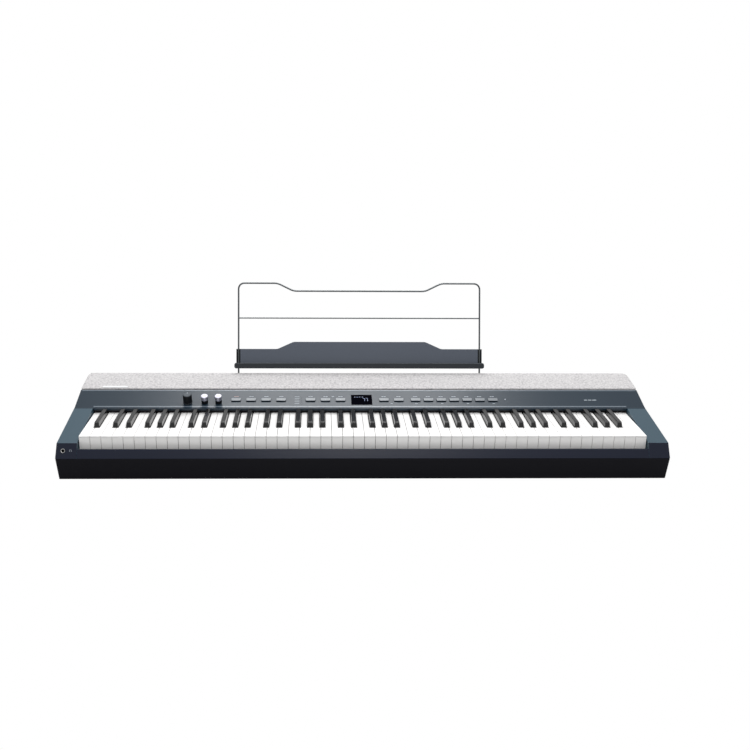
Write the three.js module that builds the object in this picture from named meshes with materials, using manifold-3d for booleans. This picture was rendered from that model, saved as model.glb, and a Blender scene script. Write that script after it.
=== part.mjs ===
// Slab digital piano with 88 keys, a control panel, a cloth-covered speaker deck and a lift-off music rest.
// Millimetres: +X along the keyboard to the treble, +Y to the rear, +Z up. Y is 0 at the white keys' fronts
// and Z is 0 on the floor until the last lines, which centre the part over its origin.
import * as THREE from 'three';
import { mergeVertices } from 'three/addons/utils/BufferGeometryUtils.js';
import Module from 'manifold-3d';

const wasm = await Module();
wasm.setup();

// ------------------------------------------------------------------ driving dimensions
const GAP = 0.3; // between two pieces that meet
const WALL = 3; // case mouldings
const DRAFT = 0.05; // the ends lean in by this much per millimetre above the seam
const ROUND = 16; // sides of a turned piece

const FOOT = { diameter: 28, height: 2.5, fromEnd: 95, fromFront: 40, fromRear: 44, taper: 1 };
const WHITE = { count: 52, pitch: 23.54, slit: 0.9, top: 94, length: 147, thickness: 12, lip: 32, lipWall: 3 };
const SHANK = { drop: 10, thickness: 8, white: 93, black: 73, blackFoot: 8, footDepth: 10 }; // behind the covers
const BLACK = { front: 50, base: 11.6, crest: 9.4, rise: 11.5, frontSlope: 4.5, clearance: 1 };
const BAR = { depth: 13 }; // the rear bar that joins a group of keys
const CHEEK = { width: 44.8, slit: 1.2, drop: 12, setback: 16, reach: 26 };
const CASE = { seam: 52, tuck: 3, bottomTuck: 6 };
const RAIL = { drop: 24 }; // below the white keys' tops
const LIP = { overlap: 7, rise: 12, depth: 6, face: 5 }; // over the white keys' ends
const PANEL = { depth: 61, rise: 21, ledge: 9 };
const GRILLE = { proud: 3.8, depth: 82.5, tilt: 8.5, skirt: 9.5, skin: 1.2, corner: 14, windows: 10, rib: 10 };
const STRIP = { depth: 19.3, drop: 8, shelf: 12, step: 1.8 };
const BOARD = { depth: 12, thickness: 1.6, front: 4, margin: 1, reach: 22 };
const FELT = { behindLip: 5, depth: 6, lift: 1 };

const KNOB = { seat: 0.6, shaft: 6, bore: 7.2 };
const KNOBS = [
  { name: 'volume_knob', x: -400, diameter: 21, height: 24 },
  { name: 'tone_knob_left', x: -361, diameter: 16, height: 19 },
  { name: 'tone_knob_right', x: -329.4, diameter: 16, height: 19 },
];
const KNOB_UP = 17; // up the panel from its crease
const BUTTON = { width: 22, length: 10, proud: 2.8, travel: 1.2, slot: 0.4, up: 25.5 };
const BUTTON_BANKS = [
  { name: 'system_button', first: -289.9, pitch: 34.7, count: 4 },
  { name: 'voice_button', first: -117.8, pitch: 34.8, count: 3 },
  { name: 'menu_button', first: 52.4, pitch: 34.7, count: 2 },
  { name: 'song_button', first: 126.1, pitch: 30, count: 7 },
];
const DISPLAY = { x: 0.7, up: 27, width: 48, length: 37, glass: 1.4, module: 4 };
const LAMP = { x: 336, up: 29, diameter: 3 };

const JACK = { fromEnd: 15.7, up: 17.5, flange: 9.6, bore: 6.5, barrel: 9, length: 15, wall: 2 };
const SPEAKER = { fromEnd: 206, clearance: 1.75, depth: 40, rim: 4, magnet: 14 };
const MAIN_BOARD = { width: 280, fromKeybed: 8, fromRear: 14, standoff: 5.7, chip: 6 };
const KEYBED = { front: 4, guide: 17, guideDrop: 32, behind: 4 };
const CONNECTOR = { x: -210, width: 150, height: 18, above: 14, depth: 22, jack: 6.5, plate: 44 };
const BADGE = { fromEnd: 82, width: 59, height: 8, up: 6, thickness: 0.8 };

const REST = { x: 0.6, half: 294.8, lean: 17, wire: 4, cross: 3, corner: 15, sides: 8 };
const REST_UP = { foot: -12, cross: 137.7, dip: 203.7, top: 222.7 }; // up the rest from its socket mouths
const REST_STEP = { outer: 200, inner: 161, blend: 14 };
const SHEET = { half: 300.1, thickness: 1.5, low: 62.3, high: 79.8, slot: 5.4 };
const LEDGE = { half: 304, bottom: 14.7, height: 13.7, front: 17, back: 5 };
const SOCKET = { clearance: 0.3, wall: 5, depth: 13 };

// ------------------------------------------------------------------ derived places
const KEYS_HALF = (WHITE.count * WHITE.pitch) / 2;
const WELL_HALF = KEYS_HALF + CHEEK.slit;
const CASE_HALF = WELL_HALF + CHEEK.width;
const SEAM_Z = CASE.seam + GAP;
const FRONT_Y = -CHEEK.reach;
const CHEEK_FRONT = { y: FRONT_Y + CHEEK.setback, z: WHITE.top - CHEEK.drop };
const LIP_Z = WHITE.top + LIP.rise;
const LIP_Y = WHITE.length - LIP.overlap;
const WHITE_END = WHITE.length + SHANK.white;
const BLACK_END = WHITE.length + SHANK.black;
const KEYBED_REAR = WHITE_END + KEYBED.behind;
const TOP_SLOPE = (LIP_Z - CHEEK_FRONT.z) / (LIP_Y - CHEEK_FRONT.y);
const CREASE = { y: LIP_Y + LIP.depth, z: LIP_Z + LIP.depth * TOP_SLOPE };
const PANEL_ANGLE = Math.atan2(PANEL.rise, PANEL.depth);
const PANEL_TOP = { y: CREASE.y + PANEL.depth, z: CREASE.z + PANEL.rise };
const INNER_DROP = WALL / Math.cos(PANEL_ANGLE);
const GRILLE_ANGLE = THREE.MathUtils.degToRad(GRILLE.tilt);
const GRILLE_FRONT = { y: PANEL_TOP.y + GAP, z: PANEL_TOP.z + GRILLE.proud };
const LEDGE_Z = grillePoint(0, -GRILLE.skirt).z - GAP;
const STRIP_Y = grillePoint(GRILLE.depth, -GRILLE.skirt).y + GAP;
const STRIP_Z = grillePoint(GRILLE.depth, 0).z - STRIP.drop;
const REAR_Y = STRIP_Y + STRIP.depth;
const SHANK_TOP = WHITE.top - SHANK.drop;
const SHANK_BOTTOM = SHANK_TOP - SHANK.thickness;
const BLACK_FOOT_Z = SHANK_BOTTOM - SHANK.blackFoot;
const CASE_FLOOR = FOOT.height + WALL;
const KEY_HOLD = WHITE.length - SHANK.drop; // where a white key's cover starts to turn down to its shank
const REST_MOUTH = { y: STRIP_Y + STRIP.depth / 2 - GAP, z: STRIP_Z };
const SOCKET_RADIUS = REST.wire / 2 + SOCKET.clearance;

// A point of the cloth deck's own frame: depth runs back along the deck, up stands off its top.
function grillePoint(depth, up) {
  return {
    y: GRILLE_FRONT.y + depth * Math.cos(GRILLE_ANGLE) - up * Math.sin(GRILLE_ANGLE),
    z: GRILLE_FRONT.z + depth * Math.sin(GRILLE_ANGLE) + up * Math.cos(GRILLE_ANGLE),
  };
}

// The height of the line through a point at a slope.
function lineZ(start, slope, y) {
  return start.z + (y - start.y) * slope;
}

// ------------------------------------------------------------------ materials
function paint(color, roughness = 0.5, metalness = 0) {
  return new THREE.MeshStandardMaterial({ color, roughness, metalness });
}

const SLATE = paint(0x46535f, 0.45);
const SLATE_FRONT = paint(0x2d3442, 0.35);
const LOWER_BLACK = paint(0x18181d, 0.5);
const CLOTH_GREY = paint(0xd2d1d4, 0.95);
const RUBBER_BLACK = paint(0x151515, 0.9);
const IVORY_WHITE = paint(0xf2f2f2, 0.25);
const KEY_BLACK = paint(0x1a1a1a, 0.45);
const INNER_BLACK = paint(0x202124, 0.8);
const BOARD_GREEN = paint(0x20523a, 0.6);
const KNOB_DARK = paint(0x41464d, 0.5);
const KNOB_LIGHT = paint(0xd8d8e0, 0.35, 0.4);
const BUTTON_GREY = paint(0x3e4348, 0.5);
const GLASS_DARK = paint(0x181a1f, 0.1);
const STEEL_WIRE = paint(0x8f9294, 0.35, 0.9);
const SHEET_SLATE = paint(0x59606b, 0.5, 0.2);
const NICKEL = paint(0xb8b8b8, 0.25, 0.95);
const BADGE_WHITE = paint(0xf4f4f4, 0.3);

// ------------------------------------------------------------------ solids
// A closed geometry as a manifold solid.
function toSolid(geometry) {
  const bare = geometry.clone();
  bare.deleteAttribute('normal');
  bare.deleteAttribute('uv');
  const merged = mergeVertices(bare, 1e-4);
  const vertProperties = merged.getAttribute('position').array;
  const triVerts = new Uint32Array(merged.index.array);
  return new wasm.Manifold(new wasm.Mesh({ numProp: 3, vertProperties, triVerts }));
}

// A manifold solid as a flat-shaded geometry.
function toGeometry(body) {
  const { vertProperties, triVerts } = body.getMesh();
  const indexed = new THREE.BufferGeometry();
  indexed.setAttribute('position', new THREE.BufferAttribute(vertProperties, 3));
  indexed.setIndex(new THREE.BufferAttribute(triVerts, 1));
  const geometry = indexed.toNonIndexed();
  geometry.computeVertexNormals();
  return geometry;
}

function cut(geometry, tools) {
  return toGeometry(tools.reduce((body, tool) => body.subtract(toSolid(tool)), toSolid(geometry)));
}

function join(geometries) {
  const [first, ...others] = geometries.map(toSolid);
  return toGeometry(others.reduce((body, other) => body.add(other), first));
}

function intersect(one, other) {
  return toGeometry(toSolid(one).intersect(toSolid(other)));
}

// A block between two corners.
function block(x0, x1, y0, y1, z0, z1) {
  const geometry = new THREE.BoxGeometry(x1 - x0, y1 - y0, z1 - z0);
  return geometry.translate((x0 + x1) / 2, (y0 + y1) / 2, (z0 + z1) / 2);
}

// A side outline of [y, z] points, extruded along X.
function prism(outline, x0, x1) {
  const shape = new THREE.Shape(outline.map(([y, z]) => new THREE.Vector2(y, z)));
  const geometry = new THREE.ExtrudeGeometry(shape, { depth: x1 - x0, bevelEnabled: false });
  const turn = new THREE.Matrix4().makeBasis(
    new THREE.Vector3(0, 1, 0),
    new THREE.Vector3(0, 0, 1),
    new THREE.Vector3(1, 0, 0),
  );
  return geometry.applyMatrix4(turn).translate(x0, 0, 0);
}

// A flat shape in the XY plane, extruded between two heights.
function plate(shape, z0, z1, curveSegments = 4) {
  const geometry = new THREE.ExtrudeGeometry(shape, { depth: z1 - z0, bevelEnabled: false, curveSegments });
  return geometry.translate(0, 0, z0);
}

// A block whose bottom and top rectangles differ, each given as { half, y0, y1, z }.
function tapered(bottom, top) {
  const geometry = new THREE.BoxGeometry(1, 1, 1);
  const points = geometry.getAttribute('position');
  for (let i = 0; i < points.count; i += 1) {
    const rectangle = points.getZ(i) > 0 ? top : bottom;
    const y = points.getY(i) > 0 ? rectangle.y1 : rectangle.y0;
    points.setXYZ(i, Math.sign(points.getX(i)) * rectangle.half, y, rectangle.z);
  }
  return geometry;
}

// A profile of [radius, height] points turned about +Z.
function turned(profile, sides = ROUND) {
  const points = profile.map(([radius, height]) => new THREE.Vector2(radius, height));
  return new THREE.LatheGeometry(points, sides).rotateX(Math.PI / 2);
}

function cylinder(radius, z0, z1, sides = ROUND) {
  return turned([[0, z0], [radius, z0], [radius, z1], [0, z1]], sides);
}

// A rectangle with rounded ends, centred on the origin.
function pill(width, height) {
  const radius = height / 2;
  const run = width / 2 - radius;
  const shape = new THREE.Shape();
  shape.absarc(run, 0, radius, -Math.PI / 2, Math.PI / 2);
  shape.absarc(-run, 0, radius, Math.PI / 2, (3 * Math.PI) / 2);
  return shape;
}

// A line of [x, y] corners with each inner corner blended by a curve of about that radius.
function blended(corners, radii, segments = 4) {
  const points = [new THREE.Vector2(...corners[0])];
  for (let i = 1; i < corners.length - 1; i += 1) {
    const corner = new THREE.Vector2(...corners[i]);
    const before = new THREE.Vector2(...corners[i - 1]).sub(corner).normalize();
    const after = new THREE.Vector2(...corners[i + 1]).sub(corner).normalize();
    const start = corner.clone().addScaledVector(before, radii[i - 1]);
    const end = corner.clone().addScaledVector(after, radii[i - 1]);
    points.push(...new THREE.QuadraticBezierCurve(start, corner, end).getPoints(segments));
  }
  points.push(new THREE.Vector2(...corners[corners.length - 1]));
  return points;
}

// A bent wire's centreline: its own points are the only stations, so straight stretches take no extra rings.
class WirePath extends THREE.Curve {
  constructor(points) {
    super();
    this.points = points.map((point) => new THREE.Vector3(point.x, point.y, 0));
  }

  getPoint(t, target = new THREE.Vector3()) {
    const station = Math.min(t, 1) * (this.points.length - 1);
    const index = Math.min(Math.floor(station + 1e-9), this.points.length - 2);
    return target.lerpVectors(this.points[index], this.points[index + 1], station - index);
  }

  getPointAt(u, target) {
    return this.getPoint(u, target);
  }

  getTangentAt(u, target = new THREE.Vector3()) {
    const last = this.points.length - 1;
    const index = Math.round(u * last);
    const before = this.points[Math.max(index - 1, 0)];
    const here = this.points[index];
    const after = this.points[Math.min(index + 1, last)];
    target.subVectors(here, before).normalize();
    return target.add(after.clone().sub(here).normalize()).normalize();
  }
}

// The case ends lean in above the seam: everything beyond the keys moves in with height.
function drafted(geometry) {
  const points = geometry.getAttribute('position');
  for (let i = 0; i < points.count; i += 1) {
    const x = points.getX(i);
    if (Math.abs(x) > WELL_HALF + GAP) {
      points.setX(i, x - Math.sign(x) * DRAFT * (points.getZ(i) - CASE.seam));
    }
  }
  return geometry;
}

// ------------------------------------------------------------------ frames of the sloping faces
// Local x runs along the keyboard, local y up the slope and local z off the surface.
function slopingFrame(x, y, z, angle) {
  const frame = new THREE.Group();
  frame.position.set(x, y, z);
  frame.rotation.x = angle;
  frame.updateMatrix();
  return frame;
}

const root = new THREE.Group();
const panelFrame = slopingFrame(0, CREASE.y, CREASE.z, PANEL_ANGLE);
const grilleFrame = slopingFrame(0, GRILLE_FRONT.y, GRILLE_FRONT.z, GRILLE_ANGLE);
const restFrame = slopingFrame(REST.x, REST_MOUTH.y, REST_MOUTH.z, THREE.MathUtils.degToRad(90 - REST.lean));
const FRONT_ANGLE = Math.atan2(CHEEK_FRONT.z - CASE.seam, CHEEK.setback);
const frontFrame = slopingFrame(0, FRONT_Y, CASE.seam, FRONT_ANGLE);
root.add(panelFrame, grilleFrame, restFrame, frontFrame);

function placed(geometry, frame) {
  return geometry.applyMatrix4(frame.matrix);
}

function add(name, geometry, material, parent = root) {
  const mesh = new THREE.Mesh(geometry, material);
  mesh.name = name;
  parent.add(mesh);
  return mesh;
}

// ------------------------------------------------------------------ case
function bottomCase() {
  const floor = { half: CASE_HALF - CASE.tuck, y0: FRONT_Y + CASE.bottomTuck, y1: REAR_Y - CASE.tuck };
  const rim = { half: CASE_HALF, y0: FRONT_Y, y1: REAR_Y };
  const shrunk = (rectangle, z) => ({
    half: rectangle.half - WALL,
    y0: rectangle.y0 + WALL,
    y1: rectangle.y1 - WALL,
    z,
  });
  const outer = tapered({ ...floor, z: FOOT.height }, { ...rim, z: CASE.seam });
  const inner = tapered(shrunk(floor, CASE_FLOOR), shrunk(rim, CASE.seam + GAP));
  add('bottom_case', cut(outer, [inner]), LOWER_BLACK);
}

function feet() {
  const radius = FOOT.diameter / 2;
  const top = FOOT.height - GAP;
  const profile = [[0, 0], [radius - FOOT.taper, 0], [radius, top], [0, top]];
  const x = CASE_HALF - FOOT.fromEnd;
  const places = [
    ['foot_front_left', -x, FRONT_Y + FOOT.fromFront],
    ['foot_front_right', x, FRONT_Y + FOOT.fromFront],
    ['foot_rear_left', -x, REAR_Y - FOOT.fromRear],
    ['foot_rear_right', x, REAR_Y - FOOT.fromRear],
  ];
  for (const [name, footX, footY] of places) {
    add(name, turned(profile), RUBBER_BLACK).position.set(footX, footY, 0);
  }
}

function frontRail() {
  const slope = CHEEK.setback / (CHEEK_FRONT.z - CASE.seam);
  const top = WHITE.top - RAIL.drop;
  const face = (z) => FRONT_Y + (z - CASE.seam) * slope;
  const outline = [
    [face(SEAM_Z), SEAM_Z],
    [face(top), top],
    [face(top) + WALL, top],
    [face(SEAM_Z) + WALL, SEAM_Z],
  ];
  add('front_rail', prism(outline, -WELL_HALF + GAP, WELL_HALF - GAP), SLATE_FRONT);
}

// The cheek's top follows the underside of all that rests on it: the panel's lip, its ledge, the deck and the strip.
function cheekOutline() {
  const under = (depth) => grillePoint(depth, -GRILLE.skirt - GAP);
  const ledgeEnd = PANEL_TOP.y + PANEL.ledge + GAP;
  const shelfStart = STRIP_Y - STRIP.shelf - GAP;
  const ledgeUnder = LEDGE_Z - WALL - GAP;
  const shelfUnder = STRIP_Z - STRIP.step - WALL - GAP;
  const slope = Math.tan(GRILLE_ANGLE);
  return [
    [FRONT_Y, SEAM_Z],
    [CHEEK_FRONT.y, CHEEK_FRONT.z],
    [LIP_Y - GAP, lineZ(CHEEK_FRONT, TOP_SLOPE, LIP_Y - GAP)],
    [LIP_Y - GAP, LIP_Z - LIP.face - GAP],
    [LIP_Y + WALL + GAP, LIP_Z - LIP.face - GAP],
    [LIP_Y + WALL + GAP, LIP_Z - WALL - GAP],
    [CREASE.y, CREASE.z - INNER_DROP - GAP],
    [PANEL_TOP.y - WALL - GAP, PANEL_TOP.z - INNER_DROP - 2 * GAP - WALL * Math.tan(PANEL_ANGLE)],
    [PANEL_TOP.y - WALL - GAP, ledgeUnder],
    [ledgeEnd, ledgeUnder],
    [ledgeEnd, lineZ(under(0), slope, ledgeEnd)],
    [shelfStart, lineZ(under(0), slope, shelfStart)],
    [shelfStart, shelfUnder],
    [REAR_Y - WALL - GAP, shelfUnder],
    [REAR_Y - WALL - GAP, SEAM_Z],
  ];
}

// The hollow inside a cheek, open to the case below.
function cheekHollow(x0, x1) {
  const deep = WALL * 1.2;
  const outline = [
    [FRONT_Y + deep, CASE.seam - GAP],
    [FRONT_Y + deep, SEAM_Z],
    [CHEEK_FRONT.y + deep, CHEEK_FRONT.z - WALL],
    [LIP_Y - WALL, LIP_Z - LIP.face - 2 * WALL],
    [PANEL_TOP.y - WALL, LEDGE_Z - 3 * WALL],
    [REAR_Y - 2 * WALL, LEDGE_Z - 3 * WALL],
    [REAR_Y - 2 * WALL, CASE.seam - GAP],
  ];
  return prism(outline, x0, x1);
}

const JACK_X = -CASE_HALF + JACK.fromEnd;

function cheeks() {
  const body = prism(cheekOutline(), WELL_HALF, CASE_HALF);
  const hollow = cheekHollow(WELL_HALF + WALL, CASE_HALF - WALL);
  const right = cut(body, [hollow]);
  const leftBody = prism(cheekOutline(), -CASE_HALF, -WELL_HALF);
  const leftHollow = cheekHollow(-CASE_HALF + WALL, -WELL_HALF - WALL);
  const bore = cylinder(JACK.barrel / 2 + GAP, -JACK.length - WALL, WALL).translate(JACK_X, JACK.up, 0);
  const left = drafted(cut(leftBody, [leftHollow]));
  add('cheek_left', cut(left, [placed(bore, frontFrame)]), SLATE);
  add('cheek_right', drafted(right), SLATE);
}

function panelBlock(x, up, width, length) {
  const tool = block(x - width / 2, x + width / 2, up - length / 2, up + length / 2, -2 * WALL, WALL);
  return placed(tool, panelFrame);
}

function panelBore(x, up, diameter) {
  return placed(cylinder(diameter / 2, -2 * WALL, WALL).translate(x, up, 0), panelFrame);
}

function controlPanel() {
  const innerSlope = Math.tan(PANEL_ANGLE);
  const innerTop = PANEL_TOP.z - INNER_DROP - WALL * innerSlope;
  const outline = [
    [LIP_Y, LIP_Z - LIP.face],
    [LIP_Y, LIP_Z],
    [CREASE.y, CREASE.z],
    [PANEL_TOP.y, PANEL_TOP.z],
    [PANEL_TOP.y, LEDGE_Z],
    [PANEL_TOP.y + PANEL.ledge, LEDGE_Z],
    [PANEL_TOP.y + PANEL.ledge, LEDGE_Z - WALL],
    [PANEL_TOP.y - WALL, LEDGE_Z - WALL],
    [PANEL_TOP.y - WALL, innerTop],
    [CREASE.y, CREASE.z - INNER_DROP],
    [LIP_Y + WALL, LIP_Z - WALL],
    [LIP_Y + WALL, LIP_Z - LIP.face],
  ];
  const slots = buttonPlaces().map(({ x }) => {
    const slot = 2 * BUTTON.slot;
    return panelBlock(x, BUTTON.up, BUTTON.width + slot, BUTTON.length + slot);
  });
  const bores = KNOBS.map(({ x }) => panelBore(x, KNOB_UP, KNOB.bore));
  const window = panelBlock(DISPLAY.x, DISPLAY.up, DISPLAY.width + 2 * GAP, DISPLAY.length + 2 * GAP);
  const lamp = panelBore(LAMP.x, LAMP.up, LAMP.diameter + 2 * GAP);
  const body = prism(outline, -CASE_HALF, CASE_HALF);
  add('control_panel', drafted(cut(body, [...slots, ...bores, window, lamp])), SLATE);
}

// ------------------------------------------------------------------ cloth deck
// The deck's plan, set in from the cloth's outside, with round rear corners.
function deckShape(inset) {
  const half = CASE_HALF - inset;
  const rear = GRILLE.depth - inset;
  const radius = GRILLE.corner - inset;
  const shape = new THREE.Shape();
  shape.moveTo(-half, inset);
  shape.lineTo(half, inset);
  shape.absarc(half - radius, rear - radius, radius, 0, Math.PI / 2);
  shape.absarc(-half + radius, rear - radius, radius, Math.PI / 2, Math.PI);
  return shape;
}

function grilleCloth() {
  const outer = plate(deckShape(0), -GRILLE.skirt, 0);
  const inner = plate(deckShape(GRILLE.skin), -GRILLE.skirt - 1, -GRILLE.skin);
  add('grille_cloth', drafted(placed(cut(outer, [inner]), grilleFrame)), CLOTH_GREY);
}

function grilleFrameRibs() {
  const inset = GRILLE.skin + GAP;
  const body = plate(deckShape(inset), -GRILLE.skirt + GAP, -GRILLE.skin - GAP);
  const length = 2 * (CASE_HALF - inset - 2 * GRILLE.rib);
  const pitch = (length + GRILLE.rib) / GRILLE.windows;
  const windows = [];
  for (let i = 0; i < GRILLE.windows; i += 1) {
    const x0 = -length / 2 + i * pitch;
    const rear = GRILLE.depth - inset - GRILLE.rib;
    windows.push(block(x0, x0 + pitch - GRILLE.rib, inset + GRILLE.rib, rear, -2 * GRILLE.skirt, 1));
  }
  add('grille_frame', drafted(placed(cut(body, windows), grilleFrame)), INNER_BLACK);
}

function badge() {
  const mesh = add('badge', plate(pill(BADGE.width, BADGE.height), 0, BADGE.thickness), BADGE_WHITE, grilleFrame);
  mesh.position.set(-CASE_HALF + BADGE.fromEnd, BADGE.up, GAP);
}

// The speakers hang between the panel's ledge and the rear shelf.
function speakers() {
  const { depth, rim, magnet, clearance } = SPEAKER;
  const bay = { front: PANEL.ledge, rear: GRILLE.depth - STRIP.shelf };
  const middle = (bay.front + bay.rear) / 2;
  const radius = (bay.rear - bay.front) / 2 - clearance;
  const profile = [
    [0, -depth],
    [magnet, -depth],
    [magnet, -depth * 0.65],
    [radius - rim, -2 * rim],
    [radius, -rim],
    [radius, 0],
    [radius - rim, 0],
    [radius / 3, -depth * 0.4],
    [0, -depth * 0.3],
  ];
  for (const [name, side] of [['speaker_left', -1], ['speaker_right', 1]]) {
    const mesh = add(name, turned(profile, 24), INNER_BLACK, grilleFrame);
    mesh.position.set(side * (CASE_HALF - SPEAKER.fromEnd), middle, -GRILLE.skirt);
  }
}

// ------------------------------------------------------------------ rear
const CONNECTOR_Z = SEAM_Z + CONNECTOR.above;

function rearPanel() {
  const shelfZ = STRIP_Z - STRIP.step;
  const outline = [
    [REAR_Y, SEAM_Z],
    [REAR_Y, STRIP_Z],
    [STRIP_Y, STRIP_Z],
    [STRIP_Y, shelfZ],
    [STRIP_Y - STRIP.shelf, shelfZ - STRIP.shelf * Math.tan(GRILLE_ANGLE)],
    [STRIP_Y - STRIP.shelf, shelfZ - WALL],
    [REAR_Y - WALL, shelfZ - WALL],
    [REAR_Y - WALL, SEAM_Z],
  ];
  const sockets = [-1, 1].map((side) => {
    const x = REST.x + side * REST.half;
    const reach = SOCKET_RADIUS + SOCKET.wall;
    return block(x - reach, x + reach, STRIP_Y, REAR_Y - WALL / 2, STRIP_Z - SOCKET.depth - WALL, STRIP_Z - WALL / 2);
  });
  const bores = [-1, 1].map((side) => {
    const bore = cylinder(SOCKET_RADIUS, -2 * SOCKET.depth, SOCKET.depth, 12).rotateX(-Math.PI / 2);
    return placed(bore.translate(side * REST.half, 0, 0), restFrame);
  });
  const notch = block(
    CONNECTOR.x - CONNECTOR.width / 2 - GAP,
    CONNECTOR.x + CONNECTOR.width / 2 + GAP,
    REAR_Y - 2 * WALL,
    REAR_Y + WALL,
    SEAM_Z - 1,
    SEAM_Z + CONNECTOR.plate + GAP,
  );
  const body = join([prism(outline, -CASE_HALF, CASE_HALF), ...sockets]);
  add('rear_panel', drafted(cut(body, [...bores, notch])), LOWER_BLACK);
}

function connectorBlock() {
  const { width, height, above, depth, jack, plate } = CONNECTOR;
  const housing = block(-width / 2, width / 2, -depth, 0, 0, height);
  const face = block(-width / 2, width / 2, -WALL, 0, -above, plate - above);
  const body = join([housing, face]);
  const spacing = width / 6;
  const deep = depth - WALL;
  const bore = (x, radius) => {
    const tool = cylinder(radius, 0, deep + 1, 12).rotateX(Math.PI / 2);
    return tool.translate(x, 1, height / 2);
  };
  const jacks = [-2, -1, 0].map((step) => bore(step * spacing, jack / 2));
  const usb = block(spacing - 6, spacing + 6, -deep, 1, height / 2 - 5.5, height / 2 + 5.5);
  const power = bore(2 * spacing, 2.9);
  const mesh = add('connector_block', cut(body, [...jacks, usb, power]), INNER_BLACK);
  mesh.position.set(CONNECTOR.x, REAR_Y - 1, CONNECTOR_Z);
}

// ------------------------------------------------------------------ inside
function keybed() {
  const blackRidge = BLACK_FOOT_Z - GAP;
  const whiteRidge = SHANK_BOTTOM - GAP;
  const base = CASE_FLOOR + GAP;
  const guideTop = SHANK_BOTTOM - KEYBED.guideDrop;
  const ridgeY = BLACK_END - SHANK.footDepth - 2 * WALL;
  const stepY = BLACK_END + 2.5 * BLACK.clearance;
  const outline = [
    [KEYBED.front, base],
    [ridgeY + WALL, base],
    [ridgeY + WALL, blackRidge - WALL],
    [stepY + WALL, blackRidge - WALL],
    [stepY + WALL, whiteRidge - WALL],
    [KEYBED_REAR - WALL, whiteRidge - WALL],
    [KEYBED_REAR - WALL, base],
    [KEYBED_REAR, base],
    [KEYBED_REAR, whiteRidge],
    [stepY, whiteRidge],
    [stepY, blackRidge],
    [ridgeY, blackRidge],
    [ridgeY, base + WALL],
    [KEYBED.guide + WALL, base + WALL],
    [KEYBED.guide + WALL, guideTop],
    [KEYBED.guide, guideTop],
    [KEYBED.guide, base + WALL],
    [KEYBED.front, base + WALL],
  ];
  add('keybed_frame', prism(outline, -KEYS_HALF, KEYS_HALF), INNER_BLACK);
}

function keyFelt() {
  const bottom = WHITE.top + FELT.lift;
  const top = LIP_Z - WALL - GAP;
  const front = LIP_Y + FELT.behindLip;
  const felt = block(-WELL_HALF + GAP, WELL_HALF - GAP, front, front + FELT.depth, bottom, top);
  add('key_felt', felt, RUBBER_BLACK);
}

function boards() {
  const { depth, thickness, front, margin, reach } = BOARD;
  // The board's lower rear edge stops short of the panel's rear flange.
  const flange = PANEL.depth - WALL - margin - depth * Math.sin(PANEL_ANGLE);
  const rear = flange / Math.cos(PANEL_ANGLE);
  const x0 = KNOBS[0].x - reach;
  const x1 = LAMP.x + reach;
  add('panel_board', block(x0, x1, front, rear, -depth, -depth + thickness), BOARD_GREEN, panelFrame);

  const half = MAIN_BOARD.width / 2;
  const y1 = REAR_Y - MAIN_BOARD.fromRear;
  const y0 = KEYBED_REAR + MAIN_BOARD.fromKeybed;
  const z0 = CASE_FLOOR + GAP + MAIN_BOARD.standoff;
  const pieces = [block(-half, half, y0, y1, z0, z0 + thickness)];
  for (const x of [-half + 8, half - 8]) {
    for (const y of [y0 + 8, y1 - 8]) {
      pieces.push(cylinder(3, CASE_FLOOR + GAP, z0 + thickness / 2, 8).translate(x, y, 0));
    }
  }
  for (const [x, width] of [[-80, 30], [-20, 22], [60, 34]]) {
    pieces.push(block(x - width / 2, x + width / 2, y0 + 12, y1 - 14, z0 + 1, z0 + MAIN_BOARD.chip));
  }
  add('main_board', join(pieces), BOARD_GREEN);
}

// ------------------------------------------------------------------ keys
const LETTERS = ['a', 'b', 'c', 'd', 'e', 'f', 'g'];
// How far each black key stands to the right of the line between its two white keys.
const SHARP_SHIFT = { a: 3.6, c: -2.6, d: 2.6, f: -3.6, g: 0 };
const OPEN_OCTAVE = { first: 23, count: 7 };

function whiteX(index) {
  return (index - (WHITE.count - 1) / 2) * WHITE.pitch;
}

function letterOf(index) {
  return LETTERS[index % LETTERS.length];
}

// The black key on the right of a white key: where it stands, or null where there is none.
function sharpX(index) {
  const shift = SHARP_SHIFT[letterOf(index)];
  if (shift === undefined || index < 0 || index >= WHITE.count - 1) {
    return null;
  }
  return whiteX(index) + WHITE.pitch / 2 + shift;
}

function whiteKey(index) {
  const { top, length, thickness, lip, lipWall, pitch, slit } = WHITE;
  const outline = [
    [0, top - lip],
    [0, top],
    [length, top],
    [length, SHANK_TOP],
    [WHITE_END, SHANK_TOP],
    [WHITE_END, SHANK_BOTTOM],
    [KEY_HOLD, SHANK_BOTTOM],
    [KEY_HOLD - thickness / 2, top - thickness],
    [lipWall, top - thickness],
    [lipWall, top - lip],
  ];
  const half = (pitch - slit) / 2;
  const x = whiteX(index);
  const notches = [sharpX(index - 1), sharpX(index)].filter((sharp) => sharp !== null).map((sharp) => {
    const reach = BLACK.base / 2 + BLACK.clearance;
    const start = BLACK.front - BLACK.clearance;
    return block(sharp - reach, sharp + reach, start, WHITE_END + 1, 0, top + 1);
  });
  return cut(prism(outline, x - half, x + half), notches);
}

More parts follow.
